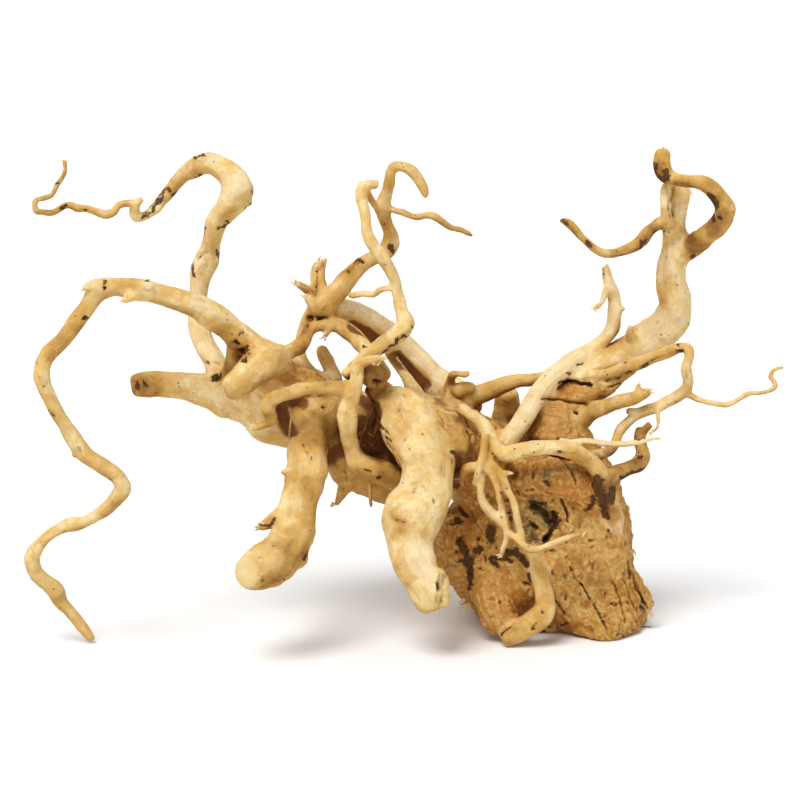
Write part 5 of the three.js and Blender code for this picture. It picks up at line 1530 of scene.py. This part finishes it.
PALETTE = {
    "limb_light": linear(240, 216, 164),
    "limb_dark": linear(222, 186, 114),
    "ochre": linear(206, 158, 80),
    "cream": linear(246, 228, 190),
    "grey": linear(178, 150, 98),
    "golden": linear(192, 144, 64),
    "brown": linear(118, 70, 30),
    "stump_light": linear(244, 194, 112),
    "stump_dark": linear(208, 148, 70),
    "gold": linear(247, 208, 126),
    "orange": linear(214, 140, 58),
    "rust": linear(178, 104, 42),
    "fibre_dark": linear(104, 60, 24),
    "speck": linear(56, 32, 14),
    "cut": linear(232, 206, 146),
    "moss": linear(164, 146, 100),
    "moss_dark": linear(84, 66, 38),
    # Painted shade for the creases and the hollows
    "crevice_shade": linear(72, 40, 17),
    "painted_hollow_shade": linear(116, 68, 28),
    "bark": linear(56, 34, 18),
    "bark_light": linear(92, 58, 30),
}


# The camera and the lights
SENSOR_WIDTH = 36
CLIP_START = 50 * MM
WORLD_LIGHT = 0.43
FLOOR_WHITE = 0.92
FLOOR_SIZE = 60


def turned_along(direction):
    """The turn that points a camera or a sun along a direction."""
    return Vector(direction).to_track_quat("-Z", "Y").to_euler()


camera = bpy.data.objects.new("camera", bpy.data.cameras.new("camera"))
bpy.context.scene.collection.objects.link(camera)
camera.location = EYE
camera.rotation_euler = turned_along(TARGET - EYE)
camera.data.sensor_width = SENSOR_WIDTH
camera.data.lens = SENSOR_WIDTH * EYE_DISTANCE / (SHEET_SIZE * UNIT)
camera.data.clip_start = CLIP_START
bpy.context.scene.camera = camera


def soft_sun(name, direction, strength, angle):
    """A broad, distant lamp; its angle is in degrees."""
    lamp = bpy.data.lights.new(name, "SUN")
    lamp.energy = strength
    lamp.angle = math.radians(angle)
    holder = bpy.data.objects.new(name, lamp)
    bpy.context.scene.collection.objects.link(holder)
    holder.rotation_euler = turned_along(direction)


soft_sun("key", (0.4, 0.62, -1.15), 2.5, 32)
soft_sun("fill", (-0.9, 0.7, -0.6), 0.3, 60)
soft_sun("back", (-0.35, -0.8, -0.9), 0.6, 60)

world = bpy.context.scene.world or bpy.data.worlds.new("studio")
bpy.context.scene.world = world
world.use_nodes = True
world.node_tree.nodes["Background"].inputs["Color"].default_value = (1, 1, 1, 1)
world.node_tree.nodes["Background"].inputs["Strength"].default_value = WORLD_LIGHT
bpy.context.scene.view_settings.view_transform = "Standard"

floor_bm = bmesh.new()
bmesh.ops.create_grid(floor_bm, x_segments=1, y_segments=1, size=FLOOR_SIZE)
floor = add_object("floor", mesh_from(floor_bm, "floor"))
floor.data.materials.append(plain_material("floor_white", (*[FLOOR_WHITE] * 3, 1), 0.95))

# The root
wood = wood_material("root_wood", fibre_group(), specks_group(), PALETTE)
skin_mesh, marked_points = skin()
skin_mesh = thinned(skin_mesh, TRIANGLES_A_PIECE, marked_points)
put_coordinates(skin_mesh, inside_box(coordinates(skin_mesh)))
for name, mesh in (("root_skin", skin_mesh), ("root_splinters", splinters())):
    piece = add_object(name, mesh)
    mesh.shade_smooth()
    mesh.materials.clear()
    mesh.materials.append(wood)
    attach(piece, "root")
    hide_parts(NODE)
